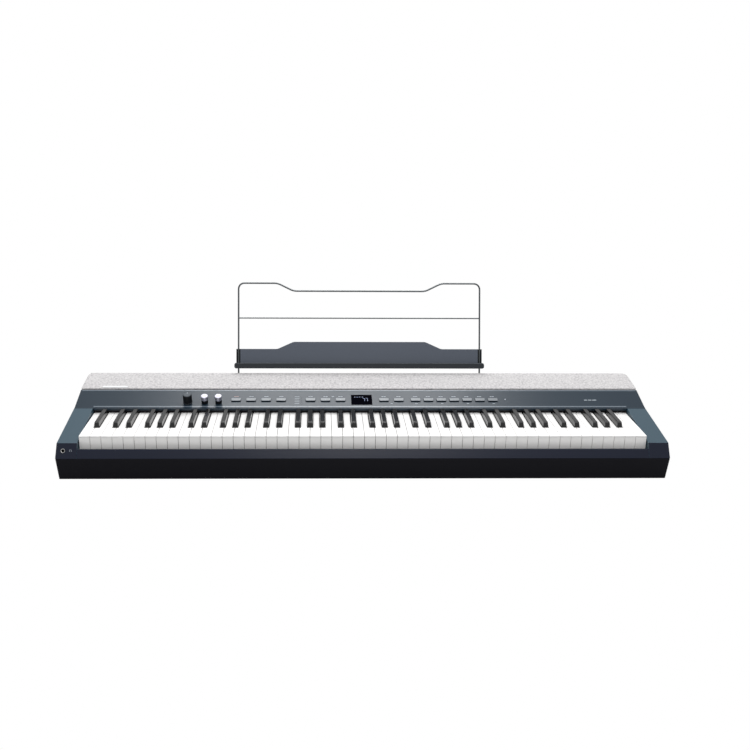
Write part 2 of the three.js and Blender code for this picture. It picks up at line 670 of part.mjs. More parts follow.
function blackKey(x) {
  const { front, base, crest, rise, frontSlope, clearance } = BLACK;
  const { top, thickness } = WHITE;
  const rear = LIP_Y - 1.5 * clearance;
  const side = [
    [front, top - thickness],
    [front, top],
    [front + frontSlope, top + rise],
    [rear, top + rise],
    [rear, top - clearance],
    [rear + SHANK.drop, SHANK_TOP],
    [BLACK_END, SHANK_TOP],
    [BLACK_END, BLACK_FOOT_Z],
    [BLACK_END - SHANK.footDepth, BLACK_FOOT_Z],
    [BLACK_END - SHANK.footDepth, SHANK_BOTTOM],
    [KEY_HOLD, SHANK_BOTTOM],
    [KEY_HOLD - thickness / 2, top - thickness],
  ];
  const section = new THREE.Shape([
    new THREE.Vector2(-base / 2, BLACK_FOOT_Z - 1),
    new THREE.Vector2(base / 2, BLACK_FOOT_Z - 1),
    new THREE.Vector2(base / 2, top),
    new THREE.Vector2(crest / 2, top + rise),
    new THREE.Vector2(-crest / 2, top + rise),
    new THREE.Vector2(-base / 2, top),
  ]);
  const across = plate(section, -BLACK_END - 1, 0).rotateX(Math.PI / 2);
  return intersect(prism(side, -base, base), across).translate(x, 0, 0);
}

function whiteGroup(name, first, last) {
  const keys = [];
  for (let index = first; index <= last; index += 1) {
    keys.push(whiteKey(index));
  }
  const half = (WHITE.pitch - WHITE.slit) / 2;
  const y0 = WHITE_END - BAR.depth;
  keys.push(block(whiteX(first) - half, whiteX(last) + half, y0, WHITE_END, SHANK_BOTTOM, SHANK_TOP));
  add(name, join(keys), IVORY_WHITE);
}

function blackGroup(name, first, last) {
  const places = [];
  for (let index = first; index <= last; index += 1) {
    places.push(sharpX(index));
  }
  const sharps = places.filter((x) => x !== null);
  const y0 = BLACK_END - SHANK.footDepth;
  const x0 = sharps[0] - BLACK.base / 2;
  const x1 = sharps[sharps.length - 1] + BLACK.base / 2;
  const bar = block(x0, x1, y0, BLACK_END, BLACK_FOOT_Z, SHANK_BOTTOM - 2 * GAP);
  add(name, join([...sharps.map(blackKey), bar]), KEY_BLACK);
}

function keyboard() {
  const { first, count } = OPEN_OCTAVE;
  const next = first + count;
  whiteGroup('white_keys_bass', 0, first - 1);
  whiteGroup('white_keys_treble', next, WHITE.count - 1);
  blackGroup('black_keys_bass', 0, first - 1);
  blackGroup('black_keys_treble', next, WHITE.count - 1);
  for (let index = first; index < next; index += 1) {
    add(`white_key_${letterOf(index)}`, whiteKey(index), IVORY_WHITE);
    const sharp = sharpX(index);
    if (sharp !== null) {
      add(`black_key_${letterOf(index)}_sharp`, blackKey(sharp), KEY_BLACK);
    }
  }
}

// ------------------------------------------------------------------ controls
function buttonPlaces() {
  return BUTTON_BANKS.flatMap(({ name, first, pitch, count }) => {
    return Array.from({ length: count }, (_, i) => ({ name: `${name}_${i + 1}`, x: first + i * pitch }));
  });
}

const BOARD_TOP = -BOARD.depth + BOARD.thickness;

function buttons() {
  for (const { name, x } of buttonPlaces()) {
    const { width, length, proud, travel } = BUTTON;
    const bottom = BOARD_TOP + GAP + travel;
    const body = block(-width / 2, width / 2, -length / 2, length / 2, bottom, proud);
    add(name, body, BUTTON_GREY, panelFrame).position.set(x, BUTTON.up, 0);
  }
}

function knobs() {
  for (const { name, x, diameter, height } of KNOBS) {
    const profile = [
      [0, BOARD_TOP + GAP],
      [KNOB.shaft / 2, BOARD_TOP + GAP],
      [KNOB.shaft / 2, KNOB.seat],
      [diameter / 2, KNOB.seat],
      [diameter / 2, KNOB.seat + height - 1],
      [diameter / 2 - 1, KNOB.seat + height],
      [0, KNOB.seat + height],
    ];
    const material = name === 'volume_knob' ? KNOB_DARK : KNOB_LIGHT;
    add(name, turned(profile, 24), material, panelFrame).position.set(x, KNOB_UP, 0);
  }
}

function display() {
  const { width, length, glass, module: inset } = DISPLAY;
  const pane = block(-width / 2, width / 2, -length / 2, length / 2, -glass, GAP);
  const cell = block(-width / 2 + inset, width / 2 - inset, -length / 2 + inset, length / 2 - inset,
    BOARD_TOP + GAP, -glass / 2);
  add('display_window', join([pane, cell]), GLASS_DARK, panelFrame).position.set(DISPLAY.x, DISPLAY.up, 0);
}

function powerLamp() {
  const lens = cylinder(LAMP.diameter / 2, BOARD_TOP + GAP, GAP, 12);
  add('power_lamp', lens, BADGE_WHITE, panelFrame).position.set(LAMP.x, LAMP.up, 0);
}

function headphoneJack() {
  const { flange, bore, barrel, length, wall } = JACK;
  const profile = [
    [0, -length],
    [barrel / 2, -length],
    [barrel / 2, GAP],
    [flange / 2, GAP],
    [flange / 2, GAP + 1],
    [bore / 2, GAP + 1],
    [bore / 2, -length + wall],
    [0, -length + wall],
  ];
  add('headphone_jack', turned(profile), NICKEL, frontFrame).position.set(JACK_X, JACK.up, 0);
}

// ------------------------------------------------------------------ music rest
function restWire() {
  const { half, corner, wire, cross, sides } = REST;
  const { outer, inner, blend } = REST_STEP;
  const { foot, dip, top } = REST_UP;
  const corners = [
    [-half, foot],
    [-half, top],
    [-outer, top],
    [-inner, dip],
    [inner, dip],
    [outer, top],
    [half, top],
    [half, foot],
  ];
  const radii = [corner, blend, blend, blend, blend, corner];
  const path = new WirePath(blended(corners, radii));
  const ring = Array.from({ length: sides }, (_, i) => {
    const angle = (2 * Math.PI * (i + 0.5)) / sides;
    return new THREE.Vector2((wire / 2) * Math.cos(angle), (wire / 2) * Math.sin(angle));
  });
  const settings = { steps: path.points.length - 1, extrudePath: path, bevelEnabled: false };
  const hoop = new THREE.ExtrudeGeometry(new THREE.Shape(ring), settings);
  const rod = cylinder(cross / 2, -half, half, sides).rotateY(Math.PI / 2).translate(0, REST_UP.cross, 0);
  add('music_rest_frame', join([hoop, rod]), STEEL_WIRE, restFrame);
}

function restPlate() {
  const { half, thickness, low, high, slot } = SHEET;
  const { outer, inner, blend } = REST_STEP;
  const ledgeTop = LEDGE.bottom + LEDGE.height;
  const face = REST.wire / 2 + GAP;
  const corners = [
    [-half, ledgeTop - 1],
    [-half, low],
    [-outer, low],
    [-inner, high],
    [inner, high],
    [outer, low],
    [half, low],
    [half, ledgeTop - 1],
  ];
  const sheet = plate(new THREE.Shape(blended(corners, [1, blend, blend, blend, blend, 1])), face, face + thickness);
  const bar = plate(pill(2 * LEDGE.half, LEDGE.height), -LEDGE.back, LEDGE.front);
  bar.translate(0, LEDGE.bottom + LEDGE.height / 2, 0);
  const tools = [-1, 1].flatMap((side) => {
    const x = side * REST.half;
    const bore = cylinder(SOCKET_RADIUS, -LEDGE.height, LEDGE.height, 12).rotateX(-Math.PI / 2);
    return [
      bore.translate(x, LEDGE.bottom + LEDGE.height / 2, 0),
      block(x - slot / 2, x + slot / 2, ledgeTop + 2, low - 3, 0, 2 * face),
    ];
  });
  add('music_rest_plate', cut(join([sheet, bar]), tools), SHEET_SLATE, restFrame);
}

// ------------------------------------------------------------------ assembly
bottomCase();
feet();
frontRail();
cheeks();
controlPanel();
grilleFrameRibs();
grilleCloth();
badge();
rearPanel();
connectorBlock();
keybed();
keyFelt();
boards();
speakers();
keyboard();
buttons();
knobs();
display();
powerLamp();
headphoneJack();
restWire();
restPlate();

// The origin is the middle of the part's box, on the floor.
const box = new THREE.Box3().setFromObject(root, true);
const centre = box.getCenter(new THREE.Vector3());
root.position.set(-centre.x, -centre.y, -box.min.z);

const part = new THREE.Group();
part.add(root);
part.updateMatrixWorld(true);

export default part;
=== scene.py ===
"""Looks of a slab digital piano with a cloth-covered speaker deck and a lift-off wire music rest.

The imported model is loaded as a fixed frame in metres. Pieces are modelled in millimetres in the frame of the
face they sit on, then placed in the row frame, and each rides on the body that carries it.
"""

import logging
import math
from collections.abc import Callable, Iterable, Sequence
from dataclasses import dataclass
from enum import Enum

import bmesh
import bpy
from bpy.types import Material, NodeSocket, Object
from mathutils import Matrix, Vector, noise
from mathutils.geometry import interpolate_bezier


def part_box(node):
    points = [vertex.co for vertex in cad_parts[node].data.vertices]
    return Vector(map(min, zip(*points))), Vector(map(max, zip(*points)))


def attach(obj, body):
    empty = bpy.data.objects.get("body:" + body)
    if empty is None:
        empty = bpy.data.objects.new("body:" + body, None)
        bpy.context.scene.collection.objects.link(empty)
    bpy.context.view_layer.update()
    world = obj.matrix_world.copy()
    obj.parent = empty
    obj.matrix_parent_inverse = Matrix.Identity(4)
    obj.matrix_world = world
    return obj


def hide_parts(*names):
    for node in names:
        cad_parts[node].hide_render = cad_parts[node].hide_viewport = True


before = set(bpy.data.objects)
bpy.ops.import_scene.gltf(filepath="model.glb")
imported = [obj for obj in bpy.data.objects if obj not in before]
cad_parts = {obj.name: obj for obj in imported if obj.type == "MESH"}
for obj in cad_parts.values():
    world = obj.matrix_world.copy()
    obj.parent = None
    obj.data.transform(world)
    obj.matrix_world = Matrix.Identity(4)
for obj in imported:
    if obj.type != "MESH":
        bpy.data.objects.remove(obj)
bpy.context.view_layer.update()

MM = 0.001
REPORT = logging.getLogger("piano")

Colour = tuple[float, float, float, float]
Number = "float | Signal"

FRONT_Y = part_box("white_keys_bass")[0].y  # the white keys' fronts, in the row frame
CAD = Matrix.Translation((0, FRONT_Y, 0)) @ Matrix.Scale(MM, 4)


def linear(red: int, green: int, blue: int) -> Colour:
    """Turns a display colour of 0 to 255 into a linear one.

    Args:
        red: Red.
        green: Green.
        blue: Blue.

    Returns:
        The linear colour with full opacity.
    """

    def channel(value: int) -> float:
        """One channel, 0 to 255, made linear."""
        share = value / 255
        return share / 12.92 if share <= 0.04045 else ((share + 0.055) / 1.055) ** 2.4

    return channel(red), channel(green), channel(blue), 1.0


def tinted(colour: Colour, factor: float) -> Colour:
    """A colour made lighter or darker by a factor."""
    return tuple(min(1.0, part * factor) for part in colour[:3]) + (1.0,)


# ---------------------------------------------------------------------------------------------- shading
class Signal:
    """A shader socket with arithmetic: each operator adds the Math node that it stands for."""

    def __init__(self, shader: "Shader", socket: NodeSocket) -> None:
        """Wraps a socket of a shader's tree."""
        self.shader = shader
        self.socket = socket

    def _maths(self, operation: str, *values: Number) -> "Signal":
        """Adds one Math node.

        Args:
            operation: The Math node's operation.
            values: The values or signals of its inputs, in order.

        Returns:
            The node's result.
        """
        node = self.shader.node("Math", {"operation": operation}, dict(enumerate(values)))
        return Signal(self.shader, node.outputs[0])

    def __add__(self, other: Number) -> "Signal":
        """The sum."""
        return self._maths("ADD", self, other)

    __radd__ = __add__

    def __mul__(self, other: Number) -> "Signal":
        """The product."""
        return self._maths("MULTIPLY", self, other)

    __rmul__ = __mul__

    def __sub__(self, other: Number) -> "Signal":
        """The difference."""
        return self._maths("SUBTRACT", self, other)

    def __rsub__(self, other: Number) -> "Signal":
        """The difference the other way round."""
        return self._maths("SUBTRACT", other, self)

    def __gt__(self, other: Number) -> "Signal":
        """1 where this is the greater, else 0."""
        return self._maths("GREATER_THAN", self, other)

    def __abs__(self) -> "Signal":
        """The value without its sign."""
        return self._maths("ABSOLUTE", self)

    def sine(self) -> "Signal":
        """The sine of the value in radians."""
        return self._maths("SINE", self)

    def highest(self, other: Number) -> "Signal":
        """The greater of the two."""
        return self._maths("MAXIMUM", self, other)

    def wrapped(self, period: float) -> "Signal":
        """The value folded back into 0 to one period."""
        return self._maths("WRAP", self, period, 0.0)


class Graph:
    """A node tree that nodes are added to."""

    def __init__(self, tree: bpy.types.NodeTree) -> None:
        """Wraps a tree."""
        self.tree = tree

    def node(
        self, kind: str, settings: dict | None = None, inputs: dict | None = None
    ) -> bpy.types.Node:
        """Adds a node.

        Args:
            kind: The node's type without its ShaderNode prefix.
            settings: Its settings, set first. "stops" gives a ramp's positions and colours.
            inputs: The value or link of each socket, by name or number.

        Returns:
            The node.
        """
        node = self.tree.nodes.new("ShaderNode" + kind)
        for key, value in (settings or {}).items():
            if key == "stops":
                self._set_stops(node, value)
            else:
                setattr(node, key, value)
        for key, value in (inputs or {}).items():
            self.feed(node.inputs[key], value)
        return node

    @staticmethod
    def _set_stops(node: bpy.types.Node, stops: Sequence[tuple[float, Colour]]) -> None:
        """Gives a ramp its positions and colours.

        Args:
            node: The ramp.
            stops: Pairs of position and colour.
        """
        elements = node.color_ramp.elements
        while len(elements) < len(stops):
            elements.new(1.0)
        for element, (position, colour) in zip(elements, stops):
            element.position = position
            element.color = colour

    def feed(self, socket: NodeSocket, value: "Number | NodeSocket | Colour") -> None:
        """Links a socket, or sets its value.

        Args:
            socket: The input.
            value: The output to link, or the value.
        """
        if isinstance(value, Signal):
            value = value.socket
        if isinstance(value, NodeSocket):
            self.tree.links.new(value, socket)
        else:
            socket.default_value = value


class Shader(Graph):
    """One material's node tree around a Principled BSDF."""

    def __init__(self, name: str) -> None:
        """Starts a material.

        Args:
            name: Its name.
        """
        self.material = bpy.data.materials.new(name)
        self.material.use_nodes = True
        super().__init__(self.material.node_tree)
        self.surface = self.tree.nodes["Principled BSDF"]

    def dress(self, **sockets: "Number | NodeSocket | Colour") -> None:
        """Sets or links the surface's sockets.

        Args:
            sockets: Each socket's value or signal, by its name with _ for a space.
        """
        for key, value in sockets.items():
            name = key.replace("_", " ").title().replace("Ior", "IOR")
            self.feed(self.surface.inputs[name], value)

    def place(self, output: str = "Object", scale: Sequence[float] = (1, 1, 1)) -> NodeSocket:
        """Coordinates on the piece.

        Args:
            output: "Object" for its own metres, or "UV".
            scale: Factors along the three axes.

        Returns:
            The scaled coordinates.
        """
        source = self.node("TexCoord").outputs[output]
        return self.node("Mapping", {}, {"Vector": source, "Scale": tuple(scale)}).outputs[0]

    def speckle(
        self, scale: float, vector: NodeSocket, detail: float = 2.0, roughness: float = 0.5
    ) -> Signal:
        """Soft noise of 0 to 1.

        Args:
            scale: Features to the metre.
            vector: The coordinates.
            detail: How many finer layers are added.
            roughness: How strong those layers are.

        Returns:
            The noise.
        """
        inputs = {"Vector": vector, "Scale": scale, "Detail": detail, "Roughness": roughness}
        return Signal(self, self.node("TexNoise", {}, inputs).outputs["Fac"])

    def mixed(
        self, share: Number, first: "Colour | NodeSocket", second: "Colour | NodeSocket"
    ) -> NodeSocket:
        """Two colours mixed.

        Args:
            share: The second colour's share, 0 to 1.
            first: One colour.
            second: The other colour.

        Returns:
            The mixed colour.
        """
        node = self.node("Mix", {"data_type": "RGBA", "blend_type": "MIX"})
        self.feed(node.inputs[0], share)
        self.feed(node.inputs[6], first)
        self.feed(node.inputs[7], second)
        return node.outputs[2]

    def ramp(self, value: Number, stops: Sequence[tuple[float, Colour]]) -> NodeSocket:
        """A colour picked along a ramp."""
        return self.node("ValToRGB", {"stops": stops}, {"Fac": value}).outputs["Color"]

    def relief(self, height: Number, depth: float, strength: float = 1.0) -> None:
        """Feeds a height to the surface's normal as relief.

        Args:
            height: 0 to 1.
            depth: The relief's depth in metres.
            strength: How strongly it shows.
        """
        bump = self.node("Bump", {}, {"Height": height, "Distance": depth, "Strength": strength})
        self.feed(self.surface.inputs["Normal"], bump.outputs["Normal"])

    def attribute(self, name: str) -> Signal:
        """A number stored on the piece's mesh."""
        return Signal(self, self.node("Attribute", {"attribute_name": name}).outputs["Fac"])


@dataclass(frozen=True)
class Finish:
    """A material by name, and the record's slot that it stands for."""

    name: str
    slot: str

    def material(self) -> Material:
        """The material, made the first time that it is asked for.

        Returns:
            The material.
        """
        found = bpy.data.materials.get(self.name)
        if found is None:
            shader = Shader(self.name)
            self.paint(shader)
            found = shader.material
        return found

    def paint(self, shader: Shader) -> None:
        """Builds the node tree.

        Args:
            shader: The material's tree.
        """
        raise NotImplementedError


@dataclass(frozen=True)
class Moulding(Finish):
    """Moulded or painted plastic with a fine spark-eroded grain, and a painted highlight on its rounded edges.
    """

    colour: Colour
    roughness: float = 0.45
    grain: float = 1400.0  # grains to the metre
    depth: float = 0.00003
    mottle: float = 0.06
    edge: float = 1.35  # how much paler the painted highlight makes the rounded edges
    coat: float = 0.0
    specular: float = 0.5

    def paint(self, shader: Shader) -> None:
        """Base colour with mottle and a painted highlight on the rounded edges, uneven gloss and grain relief.

        Args:
            shader: The material's tree.
        """
        place = shader.place()
        cloud = shader.speckle(6.0, place, detail=3.0)
        grain = shader.speckle(self.grain, place, detail=3.0, roughness=0.6)
        base = shader.mixed(
            cloud * 0.7 + grain * 0.3,
            tinted(self.colour, 1 - self.mottle),
            tinted(self.colour, 1 + self.mottle),
        )
        # painted highlight on the rounded edges, broken up unevenly
        edge_highlight = shader.attribute("edge_highlight") * (0.45 + 0.55 * shader.speckle(220.0, place))
        shader.dress(
            base_color=shader.mixed(edge_highlight, base, tinted(self.colour, self.edge)),
            roughness=self.roughness - 0.05 + 0.07 * cloud + 0.03 * grain,
            coat_weight=self.coat,
            coat_roughness=0.15,
            specular_ior_level=self.specular,
        )
        shader.relief(grain, self.depth, 0.5)


@dataclass(frozen=True)
class Heather(Finish):
    """A plain weave of mixed grey yarns, drawn on the cloth's own flat coordinates in metres."""

    pale: Colour
    mid: Colour
    dark: Colour
    pitch: float = 0.0011  # metres from yarn to yarn
    warp_changes: float = 70.0  # changes of tone to the metre along a yarn
    weft_changes: float = 60.0
    slubs: float = 250.0  # slubs to the metre
    patches: float = 40.0
    fuzz: float = 2600.0
    depth: float = 0.00035

    def paint(self, shader: Shader) -> None:
        """Woven relief, with each yarn's own tone and slubs along it, and painted shade in the hollows between
        yarns.

        Args:
            shader: The material's tree.
        """
        flat = shader.place("UV")
        parts = shader.node("SeparateXYZ", {}, {"Vector": flat})
        turn = math.pi / self.pitch
        across = (Signal(shader, parts.outputs["X"]) * turn).sine()
        along = (Signal(shader, parts.outputs["Y"]) * turn).sine()
        crossing = across * along * 0.4
        warp = abs(across) * 0.6 + crossing
        weft = abs(along) * 0.6 - crossing
        height = warp.highest(weft)

        warp_yarn = shader.speckle(
            1.0, shader.place("UV", (1 / self.pitch, self.warp_changes, 1)), 1.0
        )
        weft_yarn = shader.speckle(
            1.0, shader.place("UV", (self.weft_changes, 1 / self.pitch, 1)), 1.0
        )
        slubs = shader.speckle(self.slubs, shader.place("UV", (0.7, 1, 1)), 3.0, 0.65)
        patches = shader.speckle(self.patches, flat, 3.0)
        upper = warp > weft
        yarn = upper * warp_yarn + (1 - upper) * weft_yarn
        tone = yarn * 0.3 + slubs * 0.6 + patches * 0.1
        colour = shader.ramp(tone, [(0.40, self.dark), (0.48, self.mid), (0.57, self.pale)])
        # darker where the relief is low: painted shade in the weave's hollows
        shader.dress(
            base_color=shader.mixed(height * 1.2, tinted(self.mid, 0.72), colour),
            roughness=0.9,
            sheen_weight=0.25,
            sheen_roughness=0.6,
            specular_ior_level=0.2,
        )
        fuzz = shader.speckle(self.fuzz, flat, 2.0)
        shader.relief(height * 0.75 + fuzz * 0.25 + slubs * 0.3, self.depth, 0.8)


@dataclass(frozen=True)
class Metal(Finish):
    """Drawn or plated metal with fine streaks along one axis."""

    colour: Colour
    roughness: float = 0.3
    streaks: Sequence[float] = (2500, 2500, 120)
    metallic: float = 1.0

    def paint(self, shader: Shader) -> None:
        """Streaks in tone and gloss, with a little dulling.

        Args:
            shader: The material's tree.
        """
        streak = shader.speckle(1.0, shader.place("Object", self.streaks), 2.0)
        dull = shader.speckle(35.0, shader.place(), 3.0)
        shader.dress(
            base_color=shader.mixed(
                streak * 0.6 + dull * 0.4, tinted(self.colour, 0.86), tinted(self.colour, 1.1)
            ),
            metallic=self.metallic,
            roughness=self.roughness - 0.06 + streak * 0.08 + dull * 0.06,
        )
        shader.relief(streak, 0.00001, 0.3)


@dataclass(frozen=True)
class Rubber(Finish):
    """Matt moulded rubber or felt, with a coarse soft grain."""

    colour: Colour
    grain: float = 700.0
    depth: float = 0.0001

    def paint(self, shader: Shader) -> None:
        """Dusty tone over a soft grain.

        Args:
            shader: The material's tree.
        """
        place = shader.place()
        grain = shader.speckle(self.grain, place, 4.0, 0.7)
        dust = shader.speckle(60.0, place, 3.0)
        shader.dress(
            base_color=shader.mixed(
                dust * 0.6 + grain * 0.4, tinted(self.colour, 0.75), tinted(self.colour, 1.35)
            ),
            roughness=0.82 + grain * 0.12,
            specular_ior_level=0.3,
        )
        shader.relief(grain, self.depth, 0.6)


@dataclass(frozen=True)
class DarkGlass(Finish):
    """A glossy dark window with faint smudges."""

    colour: Colour

    def paint(self, shader: Shader) -> None:
        """Dark base with smudges in its tone and gloss.

        Args:
            shader: The material's tree.
        """
        smudge = shader.speckle(90.0, shader.place(), 4.0)
        shader.dress(
            base_color=shader.mixed(smudge, self.colour, tinted(self.colour, 1.4)),
            roughness=0.3 + smudge * 0.12,
            specular_ior_level=0.0,
        )


@dataclass(frozen=True)
class Glow(Finish):
    """A small lit segment or lamp, uneven across its lens."""

    colour: Colour
    strength: float

    def paint(self, shader: Shader) -> None:
        """Emission that falls away unevenly.

        Args:
            shader: The material's tree.
        """
        uneven = shader.speckle(900.0, shader.place(), 1.0)
        lit = shader.mixed(uneven, tinted(self.colour, 0.6), self.colour)
        shader.dress(base_color=lit, emission_color=lit, emission_strength=self.strength, roughness=0.25)


@dataclass(frozen=True)
class CircuitBoard(Finish):
    """Solder mask over copper tracks and pads."""

    mask: Colour
    copper: Colour
    pitch_x: float = 0.0026  # metres from track to track
    gap_x: float = 0.0019
    pitch_y: float = 0.0022
    gap_y: float = 0.0016
    block_scale: float = 55.0
    pad_scale: float = 260.0
    pad_radius: float = 0.22

    def paint(self, shader: Shader) -> None:
        """Tracks run in two directions in blocks, with round pads among them.

        Args:
            shader: The material's tree.
        """
        place = shader.place()
        parts = shader.node("SeparateXYZ", {}, {"Vector": place})
        tracks_x = Signal(shader, parts.outputs["X"]).wrapped(self.pitch_x) > self.gap_x
        tracks_y = Signal(shader, parts.outputs["Y"]).wrapped(self.pitch_y) > self.gap_y
        blocks = shader.speckle(self.block_scale, place, 0.0) > 0.5
        tracks = blocks * tracks_x + (1 - blocks) * tracks_y
        cells = shader.node("TexVoronoi", {}, {"Vector": place, "Scale": self.pad_scale})
        pads = self.pad_radius - Signal(shader, cells.outputs["Distance"]) > 0.0
        base = shader.mixed(tracks * 0.5, self.mask, tinted(self.mask, 1.9))
        shader.dress(
            base_color=shader.mixed(pads, base, self.copper),
            metallic=pads * 0.8,
            roughness=0.42,
            coat_weight=0.3,
        )
        shader.relief(tracks, 0.00004, 0.6)


SLATE = Moulding("slate_satin", "slate_case", linear(50, 71, 83), 0.4, edge=1.5, depth=0.00002, specular=0.4)
PANEL_SLATE = Moulding(
    "panel_satin", "slate_case", linear(24, 39, 51), 0.36, edge=2.0, depth=0.00001, specular=0.36
)
# painted highlight: a pale copy of the panel slate, for the beads along the panel's edges
PANEL_BEAD_HIGHLIGHT = Moulding("panel_bead_painted_highlight", "slate_case", linear(104, 114, 124), 0.3, edge=1.2, specular=0.7)
SLATE_FRONT = Moulding("slate_front_satin", "front_slate", linear(22, 27, 42), 0.3, edge=1.3, specular=0.24)
LOWER_BLACK = Moulding(
    "lower_case_black", "lower_case", linear(12, 12, 18), 0.5, 900.0, 0.00006, edge=1.6, specular=0.12
)
INNER_BLACK = Moulding(
    "inner_black", "inner_plastic", linear(26, 27, 30), 0.7, 800.0, 0.00005, edge=1.3, specular=0.2
)
HEATHER = Heather(
    "heather_weave", "grille_cloth", linear(208, 206, 206), linear(187, 185, 186), linear(142, 140, 143)
)
KEY_WHITE = Moulding(
    "key_white", "white_key", linear(240, 239, 238), 0.24, 500.0, 0.000008, 0.012, 1.04, 0.15
)
KEY_BLACK = Moulding(
    "key_black", "black_key", linear(20, 20, 21), 0.16, 1600.0, 0.000004, 0.08, 1.5, specular=0.5
)
BUTTON_GREY = Moulding("button_grey", "button", linear(98, 104, 110), 0.36, edge=1.6)
# painted shade: the button caps' sides are darker than their tops
BUTTON_SIDE_SHADE = Moulding("button_side_painted_shade", "button", linear(34, 38, 42), 0.5, edge=1.0, specular=0.2)
KNOB_DARK = Moulding("knob_dark_satin", "knob_dark", linear(20, 22, 26), 0.5, edge=1.5, specular=0.14)
KNOB_DISC = Moulding("knob_disc", "knob_dark", linear(74, 80, 86), 0.5, edge=1.3, specular=0.25)
KNOB_CAP = Moulding("knob_cap_white", "knob_light", linear(206, 206, 222), 0.3, mottle=0.03, edge=1.02)
KNOB_METAL = Metal("knob_satin_metal", "knob_light", linear(188, 189, 203), 0.34, (2500, 2500, 200), 0.8)
BADGE_WHITE = Moulding("badge_white", "badge", linear(216, 217, 218), 0.28, mottle=0.015, edge=1.02, coat=0.4)
INK = Moulding("legend_ink", "badge", linear(150, 158, 165), 0.6, mottle=0.05, edge=1.0)
INK_RED = Moulding("legend_ink_red", "badge", linear(150, 128, 126), 0.6, mottle=0.05, edge=1.0)
GLASS = DarkGlass("dark_display_pane", "display_glass", linear(5, 5, 9))
SEGMENTS = Glow("display_segments", "display_glass", linear(110, 128, 172), 0.22)
LAMP_LIT = Glow("lamp_lit", "badge", linear(190, 198, 208), 0.2)
LAMP_DIM = Moulding("lamp_dim", "badge", linear(60, 66, 72), 0.3, edge=1.0)
NICKEL = Metal("nickel_plate", "nickel", linear(176, 176, 174), 0.25, (400, 400, 2500))
STEEL = Metal("drawn_steel", "steel_wire", linear(92, 96, 98), 0.36, (2500, 2500, 90), 0.85)
SCREW = Metal("screw_black_zinc", "nickel", linear(52, 52, 55), 0.38, (900, 900, 900), 0.9)
REST_SLATE = Moulding("rest_slate", "rest_sheet", linear(70, 77, 89), 0.38, 1800.0, 0.00002, edge=1.6)
REST_DARK = Moulding("rest_dark", "rest_sheet", linear(33, 37, 42), 0.42, edge=2.4, specular=0.3)
RUBBER = Rubber("foot_rubber", "rubber", linear(26, 26, 27))
FELT = Rubber("key_felt", "felt", linear(28, 27, 30), 1500.0, 0.0003)
BOARD = CircuitBoard("solder_mask", "board", linear(22, 74, 50), linear(190, 130, 80))


# ---------------------------------------------------------------------------------------------- modelling
@dataclass(frozen=True)
class Slope:
    """The frame of a sloping face: x along the keyboard, y up the slope and z off the surface."""

    y: float
    z: float
    degrees: float
    x: float = 0.0

    def matrix(self) -> Matrix:
        """From millimetres on the face to the row frame."""
        turn = Matrix.Rotation(math.radians(self.degrees), 4, "X")
        return CAD @ Matrix.Translation((self.x, self.y, self.z)) @ turn

    def at(self, x: float, y: float, z: float = 0.0) -> Matrix:
        """The same frame with its origin moved by millimetres on the face."""
        return self.matrix() @ Matrix.Translation((x, y, z))


PANEL = Slope(146.0, 106.96, math.degrees(math.atan2(21, 61)))
DECK = Slope(207.3, 131.76, 8.5)
REST = Slope(299.948, 135.954, 73.0, 0.6)
NOSE = Slope(-26.0, 52.0, math.degrees(math.atan2(30, 16)))
LEVEL = Slope(0.0, 0.0, 0.0)


class Bend(Enum):
    """Which edges of a shape are rounded."""

    ALL = "all"
    CONVEX = "convex"
    TOP = "top"


def everything(bm: bmesh.types.BMesh) -> list:
    """All the parts of a mesh in progress."""
    return [*bm.verts, *bm.edges, *bm.faces]


def sharp_edges(bm: bmesh.types.BMesh, bend: Bend, degrees: float = 28.0) -> list[bmesh.types.BMEdge]:
    """The edges to round.

    Args:
        bm: The mesh in progress.
        bend: Which edges count.
        degrees: The least angle between an edge's faces.

    Returns:
        The edges.
    """
    bm.normal_update()
    found = [e for e in bm.edges if len(e.link_faces) == 2 and e.calc_face_angle() > math.radians(degrees)]
    if bend is Bend.CONVEX:
        return [e for e in found if e.is_convex]
    if bend is Bend.TOP:
        top = max(v.co.z for v in bm.verts)
        return [e for e in found if all(v.co.z > top - 1e-4 for v in e.verts)]
    return found


def rounded(bm: bmesh.types.BMesh, edges: Sequence, radius: float, segments: int = 2) -> None:
    """Rounds edges, and marks the new faces for the painted edge highlight.

    Args:
        bm: The mesh in progress.
        edges: The edges to round.
        radius: The offset from each edge.
        segments: Steps round the edge.
    """
    edge_highlight = bm.faces.layers.float.get("edge_highlight") or bm.faces.layers.float.new("edge_highlight")
    picked = list(edges)
    made = bmesh.ops.bevel(
        bm, geom=picked, offset=radius, offset_type="OFFSET", affect="EDGES", segments=segments,
        profile=0.5, material=-1, clamp_overlap=True,
    )
    for face in made["faces"]:
        face[edge_highlight] = 1.0


def turned(profile: Sequence[tuple[float, float]], steps: int = 32) -> bmesh.types.BMesh:
    """A profile of radius and height turned about the z axis.

    Args:
        profile: Pairs of radius and height, from the bottom axis point to the top one.
        steps: Sides of the turned shape.

    Returns:
        The closed mesh.
    """
    bm = bmesh.new()
    verts = [bm.verts.new((radius, 0, height)) for radius, height in profile]
    edges = [bm.edges.new(pair) for pair in zip(verts, verts[1:])]
    bmesh.ops.spin(
        bm, geom=[*verts, *edges], cent=(0, 0, 0), axis=(0, 0, 1), angle=math.tau, steps=steps,
        use_merge=True, use_duplicate=False,
    )
    bmesh.ops.remove_doubles(bm, verts=bm.verts, dist=1e-4)
    bmesh.ops.recalc_face_normals(bm, faces=bm.faces)
    return bm


def outline_face(bm: bmesh.types.BMesh, points: Iterable[Sequence[float]]) -> bmesh.types.BMFace:
    """One flat face through a few points."""
    return bm.faces.new([bm.verts.new(point) for point in points])


